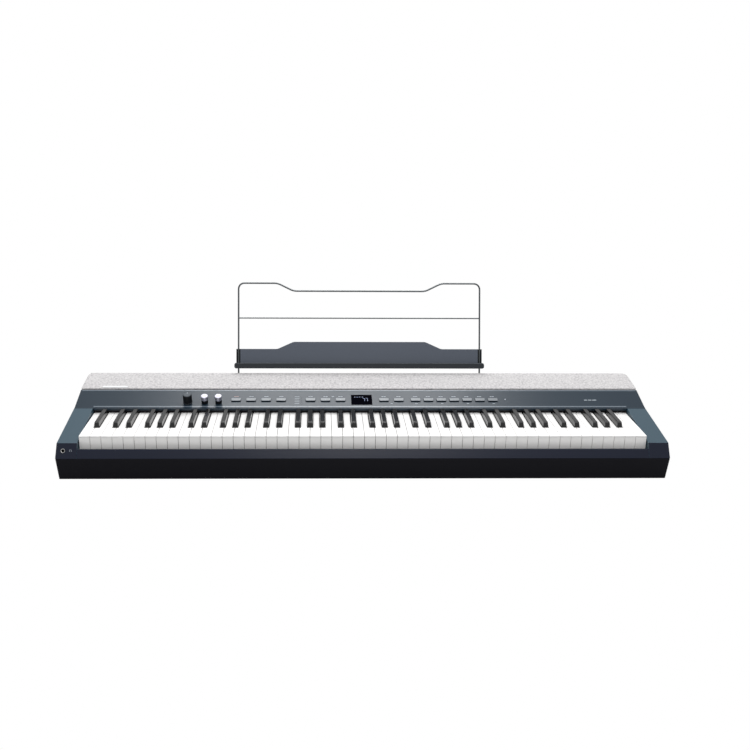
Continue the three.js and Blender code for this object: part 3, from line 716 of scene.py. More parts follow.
def thickened(bm: bmesh.types.BMesh, by: Vector) -> None:
    """Extrudes a mesh's open faces into a closed solid.

    Args:
        bm: The mesh in progress.
        by: How far and which way.
    """
    made = bmesh.ops.extrude_face_region(bm, geom=list(bm.faces))
    verts = [part for part in made["geom"] if isinstance(part, bmesh.types.BMVert)]
    bmesh.ops.translate(bm, verts=verts, vec=by)
    bmesh.ops.recalc_face_normals(bm, faces=bm.faces)


def prism(outline: Sequence[tuple[float, float]], x0: float, x1: float) -> bmesh.types.BMesh:
    """A side outline of y and z, extruded along x.

    Args:
        outline: The corners.
        x0: Where it starts.
        x1: Where it ends.

    Returns:
        The closed mesh.
    """
    bm = bmesh.new()
    outline_face(bm, [(x0, y, z) for y, z in outline])
    thickened(bm, Vector((x1 - x0, 0, 0)))
    return bm


def tablet(
    width: float, length: float, corner: float, z0: float, z1: float, segments: int = 4
) -> bmesh.types.BMesh:
    """A flat block with rounded corners, centred on the origin.

    Args:
        width: Along x.
        length: Along y.
        corner: Its corners' radius.
        z0: Its bottom.
        z1: Its top.
        segments: Steps round a corner.

    Returns:
        The closed mesh.
    """
    bm = bmesh.new()
    bmesh.ops.create_grid(bm, x_segments=1, y_segments=1, size=0.5)
    bmesh.ops.scale(bm, vec=(width, length, 1), verts=bm.verts)
    bmesh.ops.translate(bm, vec=(0, 0, z0), verts=bm.verts)
    bmesh.ops.bevel(
        bm, geom=list(bm.verts), offset=corner, offset_type="OFFSET", affect="VERTICES", segments=segments,
        profile=0.5, material=-1, clamp_overlap=True,
    )
    thickened(bm, Vector((0, 0, z1 - z0)))
    return bm


def dished(bm: bmesh.types.BMesh, inset: float, drop: float) -> None:
    """Insets the highest flat face and sinks it a little.

    Args:
        bm: The mesh in progress.
        inset: How far in the new rim lies.
        drop: How far the middle sinks.
    """
    top = max(bm.faces, key=lambda face: (round(face.calc_center_median().z, 4), face.calc_area()))
    bmesh.ops.inset_region(bm, faces=[top], thickness=inset, depth=0.0, use_even_offset=True)
    bmesh.ops.translate(bm, verts=list(top.verts), vec=(0, 0, -drop))


def merged(parts: Sequence[bmesh.types.BMesh]) -> bmesh.types.BMesh:
    """Several meshes in progress as one.

    Args:
        parts: The meshes, which are freed.

    Returns:
        The mesh of them all.
    """
    whole = bmesh.new()
    for part in parts:
        mesh = bpy.data.meshes.new("part")
        part.to_mesh(mesh)
        part.free()
        whole.from_mesh(mesh)
        bpy.data.meshes.remove(mesh)
    return whole


def softened(node: str, radius: float, segments: int = 2, degrees: float = 28.0) -> bmesh.types.BMesh:
    """A CAD node's shape with its outer edges rounded, in the row frame's metres.

    Args:
        node: The CAD node.
        radius: The rounding in millimetres.
        segments: Steps round an edge.
        degrees: The least angle of an edge that is rounded.

    Returns:
        The mesh.
    """
    bm = bmesh.new()
    bm.from_mesh(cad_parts[node].data)
    bmesh.ops.remove_doubles(bm, verts=bm.verts, dist=5e-6)
    bmesh.ops.dissolve_limit(bm, angle_limit=math.radians(0.6), verts=bm.verts, edges=bm.edges)
    rounded(bm, sharp_edges(bm, Bend.CONVEX, degrees), radius * MM, segments)
    return bm


class Shading(Enum):
    """How a piece's faces are shaded."""

    FLAT = "flat"
    SMOOTH = "smooth"


class SubAssembly:
    """Makes finished pieces out of meshes in progress and keeps their names."""

    def __init__(self) -> None:
        """Starts with no pieces."""
        self.made: list[str] = []

    def add(
        self,
        name: str,
        bm: bmesh.types.BMesh,
        finish: Finish,
        body: str,
        place: Matrix | None = None,
        replaces: Sequence[str] = (),
        shading: Shading = Shading.SMOOTH,
        crease: float = 32.0,
    ) -> Object:
        """Turns a mesh in progress into a piece.

        Args:
            name: The piece's name.
            bm: Its mesh, which is freed.
            finish: Its finish.
            body: The CAD body that it rides on.
            place: From the mesh's own frame to the row frame.
            replaces: The CAD nodes that it stands for.
            shading: How its faces are shaded.
            crease: Edges past this angle, in degrees, stay sharp.

        Returns:
            The piece.
        """
        if place is not None:
            bm.transform(place)
        mesh = bpy.data.meshes.new(name)
        bm.to_mesh(mesh)
        bm.free()
        piece = bpy.data.objects.new(name, mesh)
        bpy.context.scene.collection.objects.link(piece)
        if shading is Shading.FLAT:
            mesh.shade_flat()
        else:
            mesh.shade_smooth()
            mesh.set_sharp_from_angle(angle=math.radians(crease))
            weighted = piece.modifiers.new("even_shading", "WEIGHTED_NORMAL")
            weighted.keep_sharp = True
        mesh.materials.append(finish.material())
        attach(piece, body)
        if replaces:
            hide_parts(*replaces)
        self.made.append(name)
        return piece

    def repaint(self, node: str, finish: Finish) -> None:
        """Gives a CAD node that stays shown its finish.

        Args:
            node: The CAD node.
            finish: Its finish.
        """
        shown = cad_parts[node]
        shown.data.materials.clear()
        shown.data.materials.append(finish.material())
        self.made.append(node)

    def report(self) -> None:
        """Logs what was made."""
        REPORT.info("%s: %d pieces: %s", type(self).__name__, len(self.made), ", ".join(self.made))


# ---------------------------------------------------------------------------------------------- case
@dataclass
class Screws:
    """Star-recess screws in the underside and the back."""

    head: float = 3.1
    rise: float = 1.1
    star: float = 1.7
    star_in: float = 1.2
    recess: float = 0.9
    sides: int = 12

    def head_mesh(self) -> bmesh.types.BMesh:
        """One screw head, its seat on z = 0.

        Returns:
            The mesh.
        """
        profile = [
            (0, 0),
            (self.head, 0),
            (self.head, 0.25),
            (self.head - 0.5, self.rise - 0.25),
            (self.head - 1.1, self.rise),
            (self.star, self.rise),
            (self.star, self.rise - self.recess),
            (0, self.rise - self.recess),
        ]
        bm = turned(profile, self.sides)
        for vert in bm.verts:
            radius = vert.co.xy.length
            if 0.1 < radius < self.star + 0.01:
                step = round(math.atan2(vert.co.y, vert.co.x) / (math.tau / self.sides))
                if step % 2:
                    vert.co.xy *= self.star_in / self.star
        return bm


@dataclass
class CaseShell(SubAssembly):
    """Lower case, front rail, cheeks, rear panel, feet and screws."""

    edge: float = 1.6
    fine_edge: float = 0.7
    foot_radius: float = 14.0
    foot_height: float = 2.2
    foot_x: float = 563.04
    feet_y: tuple[float, float] = (14.0, 265.9)
    rear_y: float = 309.9
    under_z: float = 2.7
    under_x: tuple[float, ...] = (-480, -240, 0, 240, 480)
    under_y: tuple[float, ...] = (30, 180, 285)
    back_x: tuple[float, ...] = (-560, -330, -100, 100, 330, 560)
    back_z: float = 110.0
    front_depth: float = 0.01  # metres behind the keys' fronts that a cheek's front face reaches

    def __post_init__(self) -> None:
        """Starts the list of pieces."""
        super().__init__()

    def build(self) -> None:
        """Makes the case's pieces."""
        self.add(
            "lower_case", softened("bottom_case", self.edge, 3), LOWER_BLACK, "case",
            replaces=["bottom_case"],
        )
        self.add(
            "front_rail_face", softened("front_rail", self.fine_edge), SLATE_FRONT, "case",
            replaces=["front_rail"],
        )
        for side in ("left", "right"):
            node = f"cheek_{side}"
            cheek = self.add(
                f"{node}_moulding", softened(node, self.fine_edge), SLATE, "case", replaces=[node]
            )
            self._dark_front(cheek)
        self.add(
            "rear_wall", softened("rear_panel", self.fine_edge), LOWER_BLACK, "case",
            replaces=["rear_panel"],
        )
        self._feet()
        self._screws()
        self.report()

    def _dark_front(self, cheek: Object) -> None:
        """Paints a cheek's front face as the rail beside it.

        Args:
            cheek: The cheek.
        """
        cheek.data.materials.append(SLATE_FRONT.material())
        for polygon in cheek.data.polygons:
            if polygon.normal.y < -0.6 and polygon.center.y < FRONT_Y + self.front_depth:
                polygon.material_index = 1

    def _feet(self) -> None:
        """Four turned rubber feet with a rounded rim and a hollow under the middle."""
        radius, height = self.foot_radius, self.foot_height
        profile = [
            (0, 0.6),
            (radius - 6, 0.6),
            (radius - 5, 0),
            (radius - 1.6, 0),
            (radius - 0.9, 0.3),
            (radius - 0.4, height - 0.4),
            (radius - 0.6, height),
            (0, height),
        ]
        for side, x in (("left", -self.foot_x), ("right", self.foot_x)):
            for end, y in zip(("front", "rear"), self.feet_y):
                node = f"foot_{end}_{side}"
                self.add(f"{node}_pad", turned(profile, 40), RUBBER, "case", LEVEL.at(x, y), [node])

    def _screws(self) -> None:
        """Screws in rows under the case and along the back."""
        under = Matrix.Rotation(math.pi, 4, "X")
        back = Matrix.Rotation(math.pi, 4, "Z") @ Matrix.Rotation(math.pi / 2, 4, "X")
        places = [LEVEL.at(x, y, self.under_z) @ under for x in self.under_x for y in self.under_y]
        places += [LEVEL.at(x, self.rear_y - 0.1, self.back_z) @ back for x in self.back_x]
        heads = []
        for place in places:
            head = Screws().head_mesh()
            head.transform(place)
            heads.append(head)
        self.add("case_screws", merged(heads), SCREW, "case")


@dataclass
class Insides(SubAssembly):
    """What shows through gaps: keybed, felt, boards, speakers and the grille frame."""

    def __post_init__(self) -> None:
        """Starts the list of pieces."""
        super().__init__()

    def build(self) -> None:
        """Gives the inner CAD nodes their finishes."""
        for node in ("keybed_frame", "grille_frame", "speaker_left", "speaker_right"):
            self.repaint(node, INNER_BLACK)
        self.repaint("key_felt", FELT)
        self.repaint("panel_board", BOARD)
        self.repaint("main_board", BOARD)
        self.report()


# ---------------------------------------------------------------------------------------------- keyboard
@dataclass
class Keyboard(SubAssembly):
    """88 separate keys: 52 white and 36 black, the middle octave's twelve on their own bodies."""

    whites: int = 52
    pitch: float = 23.54
    slit: float = 0.9
    top: float = 94.0
    lip: float = 32.0
    cover: float = 147.0
    white_end: float = 240.0
    black_end: float = 220.0
    black_front: float = 50.0
    black_rear: float = 138.5
    black_base: float = 11.6
    black_crest: float = 9.4
    black_rise: float = 11.5
    black_slope: float = 4.5  # how far the front leans back
    black_foot: float = 26.0  # below the white keys' tops
    black_edge: float = 1.0
    white_edge: float = 0.7
    crown: float = 2.2
    nose: float = 3.0
    skirt_in: float = 0.8
    skirt_wall: float = 3.8
    hollow: float = 12.0
    shank_top: float = 10.0
    shank_low: float = 18.0
    clearance: float = 1.0
    octave_first: int = 23
    letters: str = "abcdefg"

    def __post_init__(self) -> None:
        """Starts the list of pieces and the black keys' offsets."""
        super().__init__()
        self.shifts = {"a": 3.6, "c": -2.6, "d": 2.6, "f": -3.6, "g": 0.0}

    def build(self) -> None:
        """Makes every key."""
        blacks = 0
        for index in range(self.whites):
            self._white_piece(index)
            sharp = self._sharp(index)
            if sharp is not None:
                blacks += 1
                self._black_piece(index, blacks, sharp)
        self.report()

    def _x(self, index: int) -> float:
        """A white key's middle."""
        return (index - (self.whites - 1) / 2) * self.pitch

    def _letter(self, index: int) -> str:
        """A white key's note."""
        return self.letters[index % 7]

    def _sharp(self, index: int) -> float | None:
        """The middle of the black key on the right of a white key.

        Args:
            index: The white key, from 0.

        Returns:
            Where it is along the keyboard, or None if there is none.
        """
        shift = self.shifts.get(self._letter(index))
        if shift is None or not 0 <= index < self.whites - 1:
            return None
        return self._x(index) + self.pitch / 2 + shift

    def _home(self, index: int, colour: str) -> tuple[str, str]:
        """The body that a key rides on.

        Args:
            index: The white key, or the one on a black key's left, from 0.
            colour: "white" or "black".

        Returns:
            The body, and the CAD node that the key helps to stand for.
        """
        step = index - self.octave_first
        if 0 <= step < 7:
            suffix = "_sharp" if colour == "black" else ""
            node = f"{colour}_key_{self._letter(index)}{suffix}"
            return node, node
        return "case", f"{colour}_keys_{'bass' if step < 0 else 'treble'}"

    def _white_piece(self, index: int) -> None:
        """Makes one white key: a cover with a front skirt under a small lip, and a shank behind it.

        Args:
            index: The key, from 0.
        """
        half = (self.pitch - self.slit) / 2
        x = self._x(index)
        reach = self.black_base / 2 + self.clearance
        start = self.black_front - self.clearance
        before, after = self._sharp(index - 1), self._sharp(index)
        left = -half if before is None else before + reach - x
        right = half if after is None else after - reach - x
        top, foot = self.top, self.top - self.lip
        outline = [
            (self.skirt_in, foot), (self.skirt_in, top - self.nose - 0.5), (0, top - self.nose), (0, top),
            (self.cover, top), (self.cover, top - self.shank_top), (self.white_end, top - self.shank_top),
            (self.white_end, top - self.shank_low), (self.cover - 10, top - self.shank_low),
            (self.cover - 16, top - self.hollow), (self.skirt_wall, top - self.hollow),
            (self.skirt_wall, foot),
        ]
        bm = prism(outline, left, right)
        bmesh.ops.bisect_plane(
            bm, geom=everything(bm), dist=1e-5, plane_co=(0, start, 0), plane_no=(0, 1, 0)
        )
        bm.normal_update()
        for side, edge in ((-1, left), (1, right)):
            wide = side * half
            if abs(edge - wide) < 1e-6:
                continue
            faces = [f for f in bm.faces if f.normal.x * side > 0.9 and f.calc_center_median().y < start]
            made = bmesh.ops.extrude_face_region(bm, geom=faces)
            verts = [part for part in made["geom"] if isinstance(part, bmesh.types.BMVert)]
            bmesh.ops.translate(bm, verts=verts, vec=(wide - edge, 0, 0))
            bmesh.ops.delete(bm, geom=faces, context="FACES_ONLY")
            bm.normal_update()
        bmesh.ops.recalc_face_normals(bm, faces=bm.faces)
        bmesh.ops.dissolve_limit(bm, angle_limit=math.radians(0.5), verts=bm.verts, edges=bm.edges)
        nose = top - self.nose - 0.1
        rim = [e for e in sharp_edges(bm, Bend.CONVEX) if all(v.co.z > nose for v in e.verts)]
        rounded(bm, rim, self.white_edge, 3)
        body, node = self._home(index, "white")
        name = f"white_key_{index + 1:02d}_cover"
        self.add(name, bm, KEY_WHITE, body, LEVEL.at(x, 0), [node])

    def _black_piece(self, index: int, number: int, x: float) -> None:
        """Makes one black key: a tapered bar with a sloped front and rounded crest, and its shank.

        Args:
            index: The white key on its left, from 0.
            number: Its own number, from 1.
            x: Its middle along the keyboard.
        """
        top, rear, rise = self.top, self.black_rear, self.black_rise
        outline = [
            (self.black_front, top - self.hollow), (self.black_front, top),
            (self.black_front + self.black_slope, top + rise), (rear, top + rise), (rear, top - 1),
            (rear + 10, top - self.shank_top), (self.black_end, top - self.shank_top),
            (self.black_end, top - self.black_foot), (self.black_end - 10, top - self.black_foot),
            (self.black_end - 10, top - self.shank_low), (self.cover - 10, top - self.shank_low),
            (self.cover - 16, top - self.hollow),
        ]
        half = self.black_base / 2
        bm = prism(outline, -half, half)
        bmesh.ops.bisect_plane(
            bm, geom=everything(bm), dist=1e-5, plane_co=(0, 0, top), plane_no=(0, 0, 1)
        )
        for vert in bm.verts:
            if vert.co.z > top + 1:
                vert.co.x *= self.black_crest / self.black_base
        crown = [
            e for e in sharp_edges(bm, Bend.CONVEX)
            if all(v.co.z > top + 1 and v.co.y < self.black_front + 10 for v in e.verts)
            and abs(e.verts[0].co.x - e.verts[1].co.x) > self.black_crest / 2
        ]
        rounded(bm, crown, self.crown, 4)
        rim = [
            e for e in sharp_edges(bm, Bend.CONVEX, 24)
            if all(v.co.z > top - 0.1 and v.co.y < rear + 1 for v in e.verts)
        ]
        rounded(bm, rim, self.black_edge, 3)
        body, node = self._home(index, "black")
        name = f"black_key_{number:02d}_bar"
        self.add(name, bm, KEY_BLACK, body, LEVEL.at(x, 0), [node])


# ---------------------------------------------------------------------------------------------- panel
@dataclass(frozen=True)
class Bank:
    """A row of push buttons on the panel."""

    name: str
    first: float
    pitch: float
    count: int
    lower_marks: bool = False

    def places(self) -> list[tuple[str, float]]:
        """Each button's name and where its middle is along the panel."""
        return [(f"{self.name}_{i + 1}", self.first + i * self.pitch) for i in range(self.count)]


@dataclass
class ControlPanel(SubAssembly):
    """The panel moulding with its legends, lamps, buttons, knobs and display."""

    button_up: float = 25.5
    button_width: float = 22.0
    button_length: float = 10.0
    button_proud: float = 2.8
    dish: float = 0.12
    board_top: float = -10.4
    gap: float = 0.3
    travel: float = 1.2
    knob_up: float = 17.0
    volume_top: float = 24.2
    tone_top: float = 19.6
    volume_x: float = -400.0
    tone_x: tuple[float, float] = (-361.0, -329.4)
    lamp_x: float = 336.0
    lamp_up: float = 29.0
    voice_lamp_x: float = -138.3
    display_x: float = 0.7
    display_up: float = 27.0
    ink: float = 0.06
    highlight_bead_runs: tuple[tuple[float, float, float, float], ...] = (
        (613.0, 0.6, 3.4, 0.35),  # half length, start and end up the panel, height
        (651.0, 60.4, 63.0, 0.35),
    )
    legend_up: float = 39.0
    lower_legend_up: float = 13.0
    name_up: float = 26.0
    name_dashes: tuple[tuple[float, float], ...] = ((524, 8), (533.5, 7), (544, 10))
    lamp_ups: tuple[float, ...] = (13.0, 19.5, 26.0, 32.5, 39.0)
    banks: tuple[Bank, ...] = (
        Bank("system_button", -289.9, 34.7, 4),
        Bank("voice_button", -117.8, 34.8, 3),
        Bank("menu_button", 52.4, 34.7, 2),
        Bank("song_button", 126.1, 30.0, 7, True),
    )

    def __post_init__(self) -> None:
        """Starts the list of pieces."""
        super().__init__()

    def build(self) -> None:
        """Makes the panel's pieces."""
        self.add(
            "panel_moulding", softened("control_panel", 1.0), PANEL_SLATE, "case",
            replaces=["control_panel"],
        )
        self._highlight_beads()
        self._buttons()
        self._legends()
        self._volume_knob()
        for side, x in zip(("left", "right"), self.tone_x):
            self._tone_knob(f"tone_knob_{side}", x)
        self._display()
        self._lamps()
        self.report()

    def _highlight_beads(self) -> None:
        """A rounded bead along the panel's lower and upper edges, where the moulding turns over, coloured pale
        as a painted highlight along these edges.
        """
        highlight_beads = []
        for half, low, high, rise in self.highlight_bead_runs:
            bm = prism([(low, -0.3), (high, -0.3), (high, rise), (low, rise)], -half, half)
            long = [e for e in sharp_edges(bm, Bend.TOP) if abs(e.verts[0].co.x - e.verts[1].co.x) > 1]
            rounded(bm, long, 0.3, 2)
            highlight_beads.append(bm)
        self.add("panel_highlight_beads", merged(highlight_beads), PANEL_BEAD_HIGHLIGHT, "case", PANEL.matrix())

    def _buttons(self) -> None:
        """Rounded push buttons with a shallow dish and sides painted darker as shade, each on its own body."""
        bottom = self.board_top + self.gap + self.travel
        for bank in self.banks:
            for node, x in bank.places():
                bm = tablet(self.button_width, self.button_length, 1.6, bottom, self.button_proud)
                rounded(bm, sharp_edges(bm, Bend.TOP), 0.7, 3)
                dished(bm, 0.8, self.dish)
                place = PANEL.at(x, self.button_up)
                cap = self.add(f"{node}_cap", bm, BUTTON_GREY, node, place, [node])
                # faces turned away from the panel's normal take the darker painted shade
                self._second_finish(cap, BUTTON_SIDE_SHADE, lambda up: up < 0.35)

    @staticmethod
    def _second_finish(piece: Object, finish: Finish, picks: Callable[[float], bool]) -> None:
        """Gives a piece on the panel a second finish.

        Args:
            piece: The piece.
            finish: Its second finish.
            picks: Whether a face takes it, from how far the face looks away from the panel.
        """
        piece.data.materials.append(finish.material())
        off = (PANEL.matrix().to_3x3() @ Vector((0, 0, 1))).normalized()
        for polygon in piece.data.polygons:
            if picks(polygon.normal.dot(off)):
                polygon.material_index = 1

    def _mark(self, x: float, up: float, width: float, length: float) -> bmesh.types.BMesh:
        """One printed dash on the panel.

        Args:
            x: Its middle along the panel.
            up: Its middle up the panel.
            width: Along x.
            length: Up the panel.

        Returns:
            The mesh, in the panel's frame.
        """
        bm = tablet(width, length, min(width, length) * 0.3, 0.0, self.ink, 2)
        bmesh.ops.translate(bm, verts=bm.verts, vec=(x, up, 0))
        return bm

    def _legends(self) -> None:
        """Short printed dashes by the buttons, with no lettering."""
        pale = []
        for bank in self.banks:
            for i, (node, x) in enumerate(bank.places()):
                if node == "system_button_1":
                    continue
                pale.append(self._mark(x - 2.8, self.legend_up, 4.0, 1.9))
                pale.append(self._mark(x + 2.4, self.legend_up, 5.0, 1.9))
                if bank.lower_marks and i % 2 == 0:
                    pale.append(self._mark(x + 0.8, self.lower_legend_up, 6.0, 1.5))
        pale += [self._mark(self.voice_lamp_x - 10.8, up, 11.0, 1.4) for up in self.lamp_ups]
        pale.append(self._mark(-65.6, self.legend_up, 6.0, 1.9))
        pale.append(self._mark(70.0, self.lower_legend_up, 5.0, 1.5))
        pale += [self._mark(x, self.name_up, width, 2.6) for x, width in self.name_dashes]
        self.add("panel_legends", merged(pale), INK, "case", PANEL.matrix(), shading=Shading.FLAT)
        warm = self._mark(self.banks[0].first, self.legend_up, 11.0, 1.9)
        self.add("power_legend", warm, INK_RED, "case", PANEL.matrix(), shading=Shading.FLAT)
        for node, x in self.banks[1].places()[1:]:
            bm = tablet(2.6, 1.8, 0.5, 0.0, self.ink, 2)
            place = PANEL.at(x, self.button_up, self.button_proud - self.dish + 0.01)
            self.add(f"{node}_mark", bm, INK, node, place, shading=Shading.FLAT)

    @staticmethod
    def _ribbed(
        profile: Sequence[tuple[float, float]], ribs: int, low: float, high: float, depth: float
    ) -> bmesh.types.BMesh:
        """A turned knob with fine ribs.

        Args:
            profile: Pairs of radius and height.
            ribs: How many ribs go round.
            low: Where the ribs start.
            high: Where they end.
            depth: How deep the grooves are.

        Returns:
            The mesh.
        """
        bm = turned(profile, 2 * ribs)
        for vert in bm.verts:
            radius = vert.co.xy.length
            step = round(math.atan2(vert.co.y, vert.co.x) / (math.pi / ribs))
            if step % 2 and low <= vert.co.z <= high and radius > 1:
                vert.co.xy *= (radius - depth) / radius
        return bm

    def _volume_knob(self) -> None:
        """The dark volume knob: ribbed skirt, dished top and a pointer line."""
        bottom = self.board_top + self.gap
        profile = [
            (0, bottom), (3.0, bottom), (3.0, 0.6), (10.4, 0.6), (10.5, 1.0), (10.5, 2.4), (10.2, 2.8),
            (10.1, 20.4), (9.9, 21.8), (9.3, 23.2), (8.5, self.volume_top), (7.9, 24.6),
            (7.5, self.volume_top), (0, self.volume_top),
        ]
        bm = self._ribbed(profile, 30, 2.7, 20.6, 0.35)
        place = PANEL.at(self.volume_x, self.knob_up)
        cap = self.add("volume_knob_cap", bm, KNOB_DARK, "volume_knob", place, ["volume_knob"])
        self._second_finish(cap, KNOB_DISC, lambda up: up > 0.5)
        line = tablet(0.9, 6.0, 0.4, self.volume_top, self.volume_top + 0.12, 3)
        bmesh.ops.translate(line, verts=line.verts, vec=(0, 4.4, 0))
        self.add("volume_knob_line", line, INK, "volume_knob", place)

    def _tone_knob(self, node: str, x: float) -> None:
        """A small knob: a foot painted dark as the shade at its base, satin metal side and white cap.

        Args:
            node: The CAD node, which is also the body's name.
            x: Where it is along the panel.
        """
        bottom = self.board_top + self.gap
        place = PANEL.at(x, self.knob_up)
        # the foot's dark finish is painted shade at the knob's base
        foot = [(0, bottom), (3.0, bottom), (3.0, 0.6), (7.6, 0.6), (7.7, 1.0), (7.5, 9.0), (0, 9.0)]
        self.add(f"{node}_foot", turned(foot, 40), KNOB_DARK, node, place)
        side = [(0, 9.0), (7.7, 9.0), (8.0, 9.3), (8.0, 17.9), (7.6, 18.6), (0, 18.6)]
        body = self._ribbed(side, 32, 9.6, 17.6, 0.2)
        self.add(f"{node}_side", body, KNOB_METAL, node, place, [node])
        lid = [(0, 18.5), (7.6, 18.5), (7.6, 18.9), (7.2, 19.4), (6.4, self.tone_top), (0, self.tone_top)]
        cap = turned(lid, 40)
        self.add(f"{node}_top", cap, KNOB_CAP, node, place)
        line = tablet(0.5, 2.6, 0.2, self.tone_top, self.tone_top + 0.06, 3)
        bmesh.ops.translate(line, verts=line.verts, vec=(0, 4.2, 0))
        self.add(f"{node}_line", line, KNOB_DARK, node, place)

    def _display(self) -> None:
        """The dark window, with two dim numerals of bars and a dim status line."""
        self.add(
            "display_pane", softened("display_window", 0.25), GLASS, "case", replaces=["display_window"]
        )
        bars = []

        def bar(x: float, up: float, width: float, length: float) -> None:
            """One lit bar on the window.

            Args:
                x: Its middle along the window.
                up: Its middle up the window.
                width: Along x.
                length: Up the window.
            """
            bm = tablet(width, length, min(width, length) * 0.35, 0.0, 0.05, 2)
            bmesh.ops.translate(bm, verts=bm.verts, vec=(x, up, 0))
            bars.append(bm)

        for x in (4.5, 11.5):
            bar(x, 5.4, 4.0, 0.9)
            bar(x + 2.4, 2.6, 0.9, 4.4)
            bar(x + 2.4, -2.6, 0.9, 4.4)
        for i, width in enumerate((3.2, 5.0, 2.4, 4.2)):
            bar(-15.5 + 5.8 * i, 9.6, width, 0.8)
        place = PANEL.at(self.display_x, self.display_up, self.gap)
        self.add("display_bars", merged(bars), SEGMENTS, "case", place, shading=Shading.FLAT)

    def _lamps(self) -> None:
        """The power lamp, and five small lamps in a column."""
        bottom = self.board_top + self.gap
        lens = turned([(0, bottom), (1.5, bottom), (1.5, 0.1), (1.1, 0.45), (0, 0.6)], 24)
        place = PANEL.at(self.lamp_x, self.lamp_up)
        self.add("power_lamp_lens", lens, LAMP_LIT, "case", place, ["power_lamp"])
        column = []
        for up in self.lamp_ups:
            bm = turned([(0, 0), (1.3, 0), (1.25, 0.2), (0.8, 0.4), (0, 0.45)], 16)
            bmesh.ops.translate(bm, verts=bm.verts, vec=(self.voice_lamp_x, up, 0))
            column.append(bm)
        self.add("voice_lamps", merged(column), LAMP_DIM, "case", PANEL.matrix())


# ---------------------------------------------------------------------------------------------- deck
@dataclass
class SpeakerDeck(SubAssembly):
    """The heather cloth stretched over the speaker deck, and its blank badge."""

    half: float = 658.04
    depth: float = 82.5
    skirt: float = 9.2
    rear_corner: float = 14.0
    front_corner: float = 4.0
    roll: float = 2.4
    skin: float = 1.0
    columns: int = 330
    rows: int = 24
    sag: float = 0.16
    seam_z: float = 52.0
    draft: float = 0.05  # how far the sides lean in, to the height above the seam
    badge_x: float = 82.0  # from the deck's left end
    badge_y: float = 6.0
    badge_width: float = 59.0
    badge_length: float = 8.0
    badge_corner: float = 3.9
    quarter: int = 4  # steps round the rolled edge

    def __post_init__(self) -> None:
        """Starts the list of pieces."""
        super().__init__()

    def build(self) -> None:
        """Makes the cloth and the badge."""
        cloth = self._cloth()
        badge = tablet(self.badge_width, self.badge_length, self.badge_corner, -0.3, 0.8, 8)
        rounded(badge, sharp_edges(badge, Bend.TOP), 0.3, 2)
        place = DECK.at(-self.half + self.badge_x, self.badge_y, 0.3)
        self.add("badge_pill", badge, BADGE_WHITE, "case", place, ["badge"])
        self.report()

    def _outward(self, x: float, y: float) -> Vector:
        """The way out of the deck's plan at a point on its edge.

        Args:
            x: Along the deck.
            y: Back from the deck's front.

        Returns:
            A flat direction of length 1.
        """
        corner = self.rear_corner if y > self.depth / 2 else self.front_corner
        core_x = max(-self.half + corner, min(self.half - corner, x))
        core_y = max(corner, min(self.depth - corner, y))
        away = Vector((x - core_x, y - core_y, 0))
        return away.normalized()

    def _plan(self, x: float, y: float) -> tuple[float, float]:
        """Moves a point of a rectangular grid so that the grid fills the round-cornered plan.

        Args:
            x: Along the deck.
            y: Back from the deck's front.

        Returns:
            The point's new x and y.
        """
        corner = (self.rear_corner if y > self.depth / 2 else self.front_corner) - self.roll
        core_x = self.half - self.roll - corner
        low, high = self.roll + corner, self.depth - self.roll - corner
        dx = max(abs(x) - core_x, 0.0)
        dy = max(low - y, 0.0) if y < self.depth / 2 else max(y - high, 0.0)
        if dx == 0.0 or dy == 0.0:
            return x, y
        shrink = max(dx, dy) / math.hypot(dx, dy)
        new_x = math.copysign(core_x + dx * shrink, x)
        new_y = low - dy * shrink if y < self.depth / 2 else high + dy * shrink
        return new_x, new_y

    def _cloth(self) -> Object:
        """The cloth: a fine grid over the deck, rolled over its edge and down its sides.

        Returns:
            The cloth, with its flat coordinates as its UV map.
        """
        bm = bmesh.new()
        bmesh.ops.create_grid(bm, x_segments=self.columns, y_segments=self.rows, size=0.5)
        span_x, span_y = 2 * (self.half - self.roll), self.depth - 2 * self.roll
        bmesh.ops.scale(bm, vec=(span_x, span_y, 1), verts=bm.verts)
        bmesh.ops.translate(bm, vec=(0, self.depth / 2, 0), verts=bm.verts)
        flat = bm.verts.layers.float_vector.new("flat")
        for vert in bm.verts:
            vert.co.x, vert.co.y = self._plan(vert.co.x, vert.co.y)
            vert[flat] = vert.co.copy()
        ring = [e for e in bm.edges if e.is_boundary]
        turns = [k * math.pi / 2 / self.quarter for k in range(1, self.quarter + 1)]
        steps = [(self.roll * math.sin(turn), self.roll * (1 - math.cos(turn))) for turn in turns]
        steps += [(self.roll, (self.roll + self.skirt) / 2), (self.roll, self.skirt)]
        before = (0.0, 0.0)
        for step in steps:
            run = math.dist(before, step)
            made = bmesh.ops.extrude_edge_only(bm, edges=ring)
            ring = [part for part in made["geom"] if isinstance(part, bmesh.types.BMEdge)]
            for vert in (part for part in made["geom"] if isinstance(part, bmesh.types.BMVert)):
                out = self._outward(vert.co.x, vert.co.y)
                vert.co += out * (step[0] - before[0]) - Vector((0, 0, step[1] - before[1]))
                vert[flat] = Vector(vert[flat]) + out * run
            before = step
        for vert in bm.verts:
            if vert.co.z > -0.1:
                vert.co.z += self.sag * noise.noise(Vector((vert.co.x / 38, vert.co.y / 22, 1.7)))
        bmesh.ops.recalc_face_normals(bm, faces=bm.faces)
        uv = bm.loops.layers.uv.new("flat_cloth")
        for face in bm.faces:
            for loop in face.loops:
                loop[uv].uv = Vector(loop.vert[flat]).xy * MM
        bm.transform(DECK.matrix())
        for vert in bm.verts:
            lean = self.draft * (vert.co.z / MM - self.seam_z)
            vert.co.x *= (self.half - lean) / self.half
        cloth = self.add("deck_cloth", bm, HEATHER, "case", replaces=["grille_cloth"], crease=60.0)
        thick = cloth.modifiers.new("cloth_thickness", "SOLIDIFY")
        thick.thickness = self.skin * MM
        thick.offset = -1.0
        thick.use_even_offset = True
        return cloth


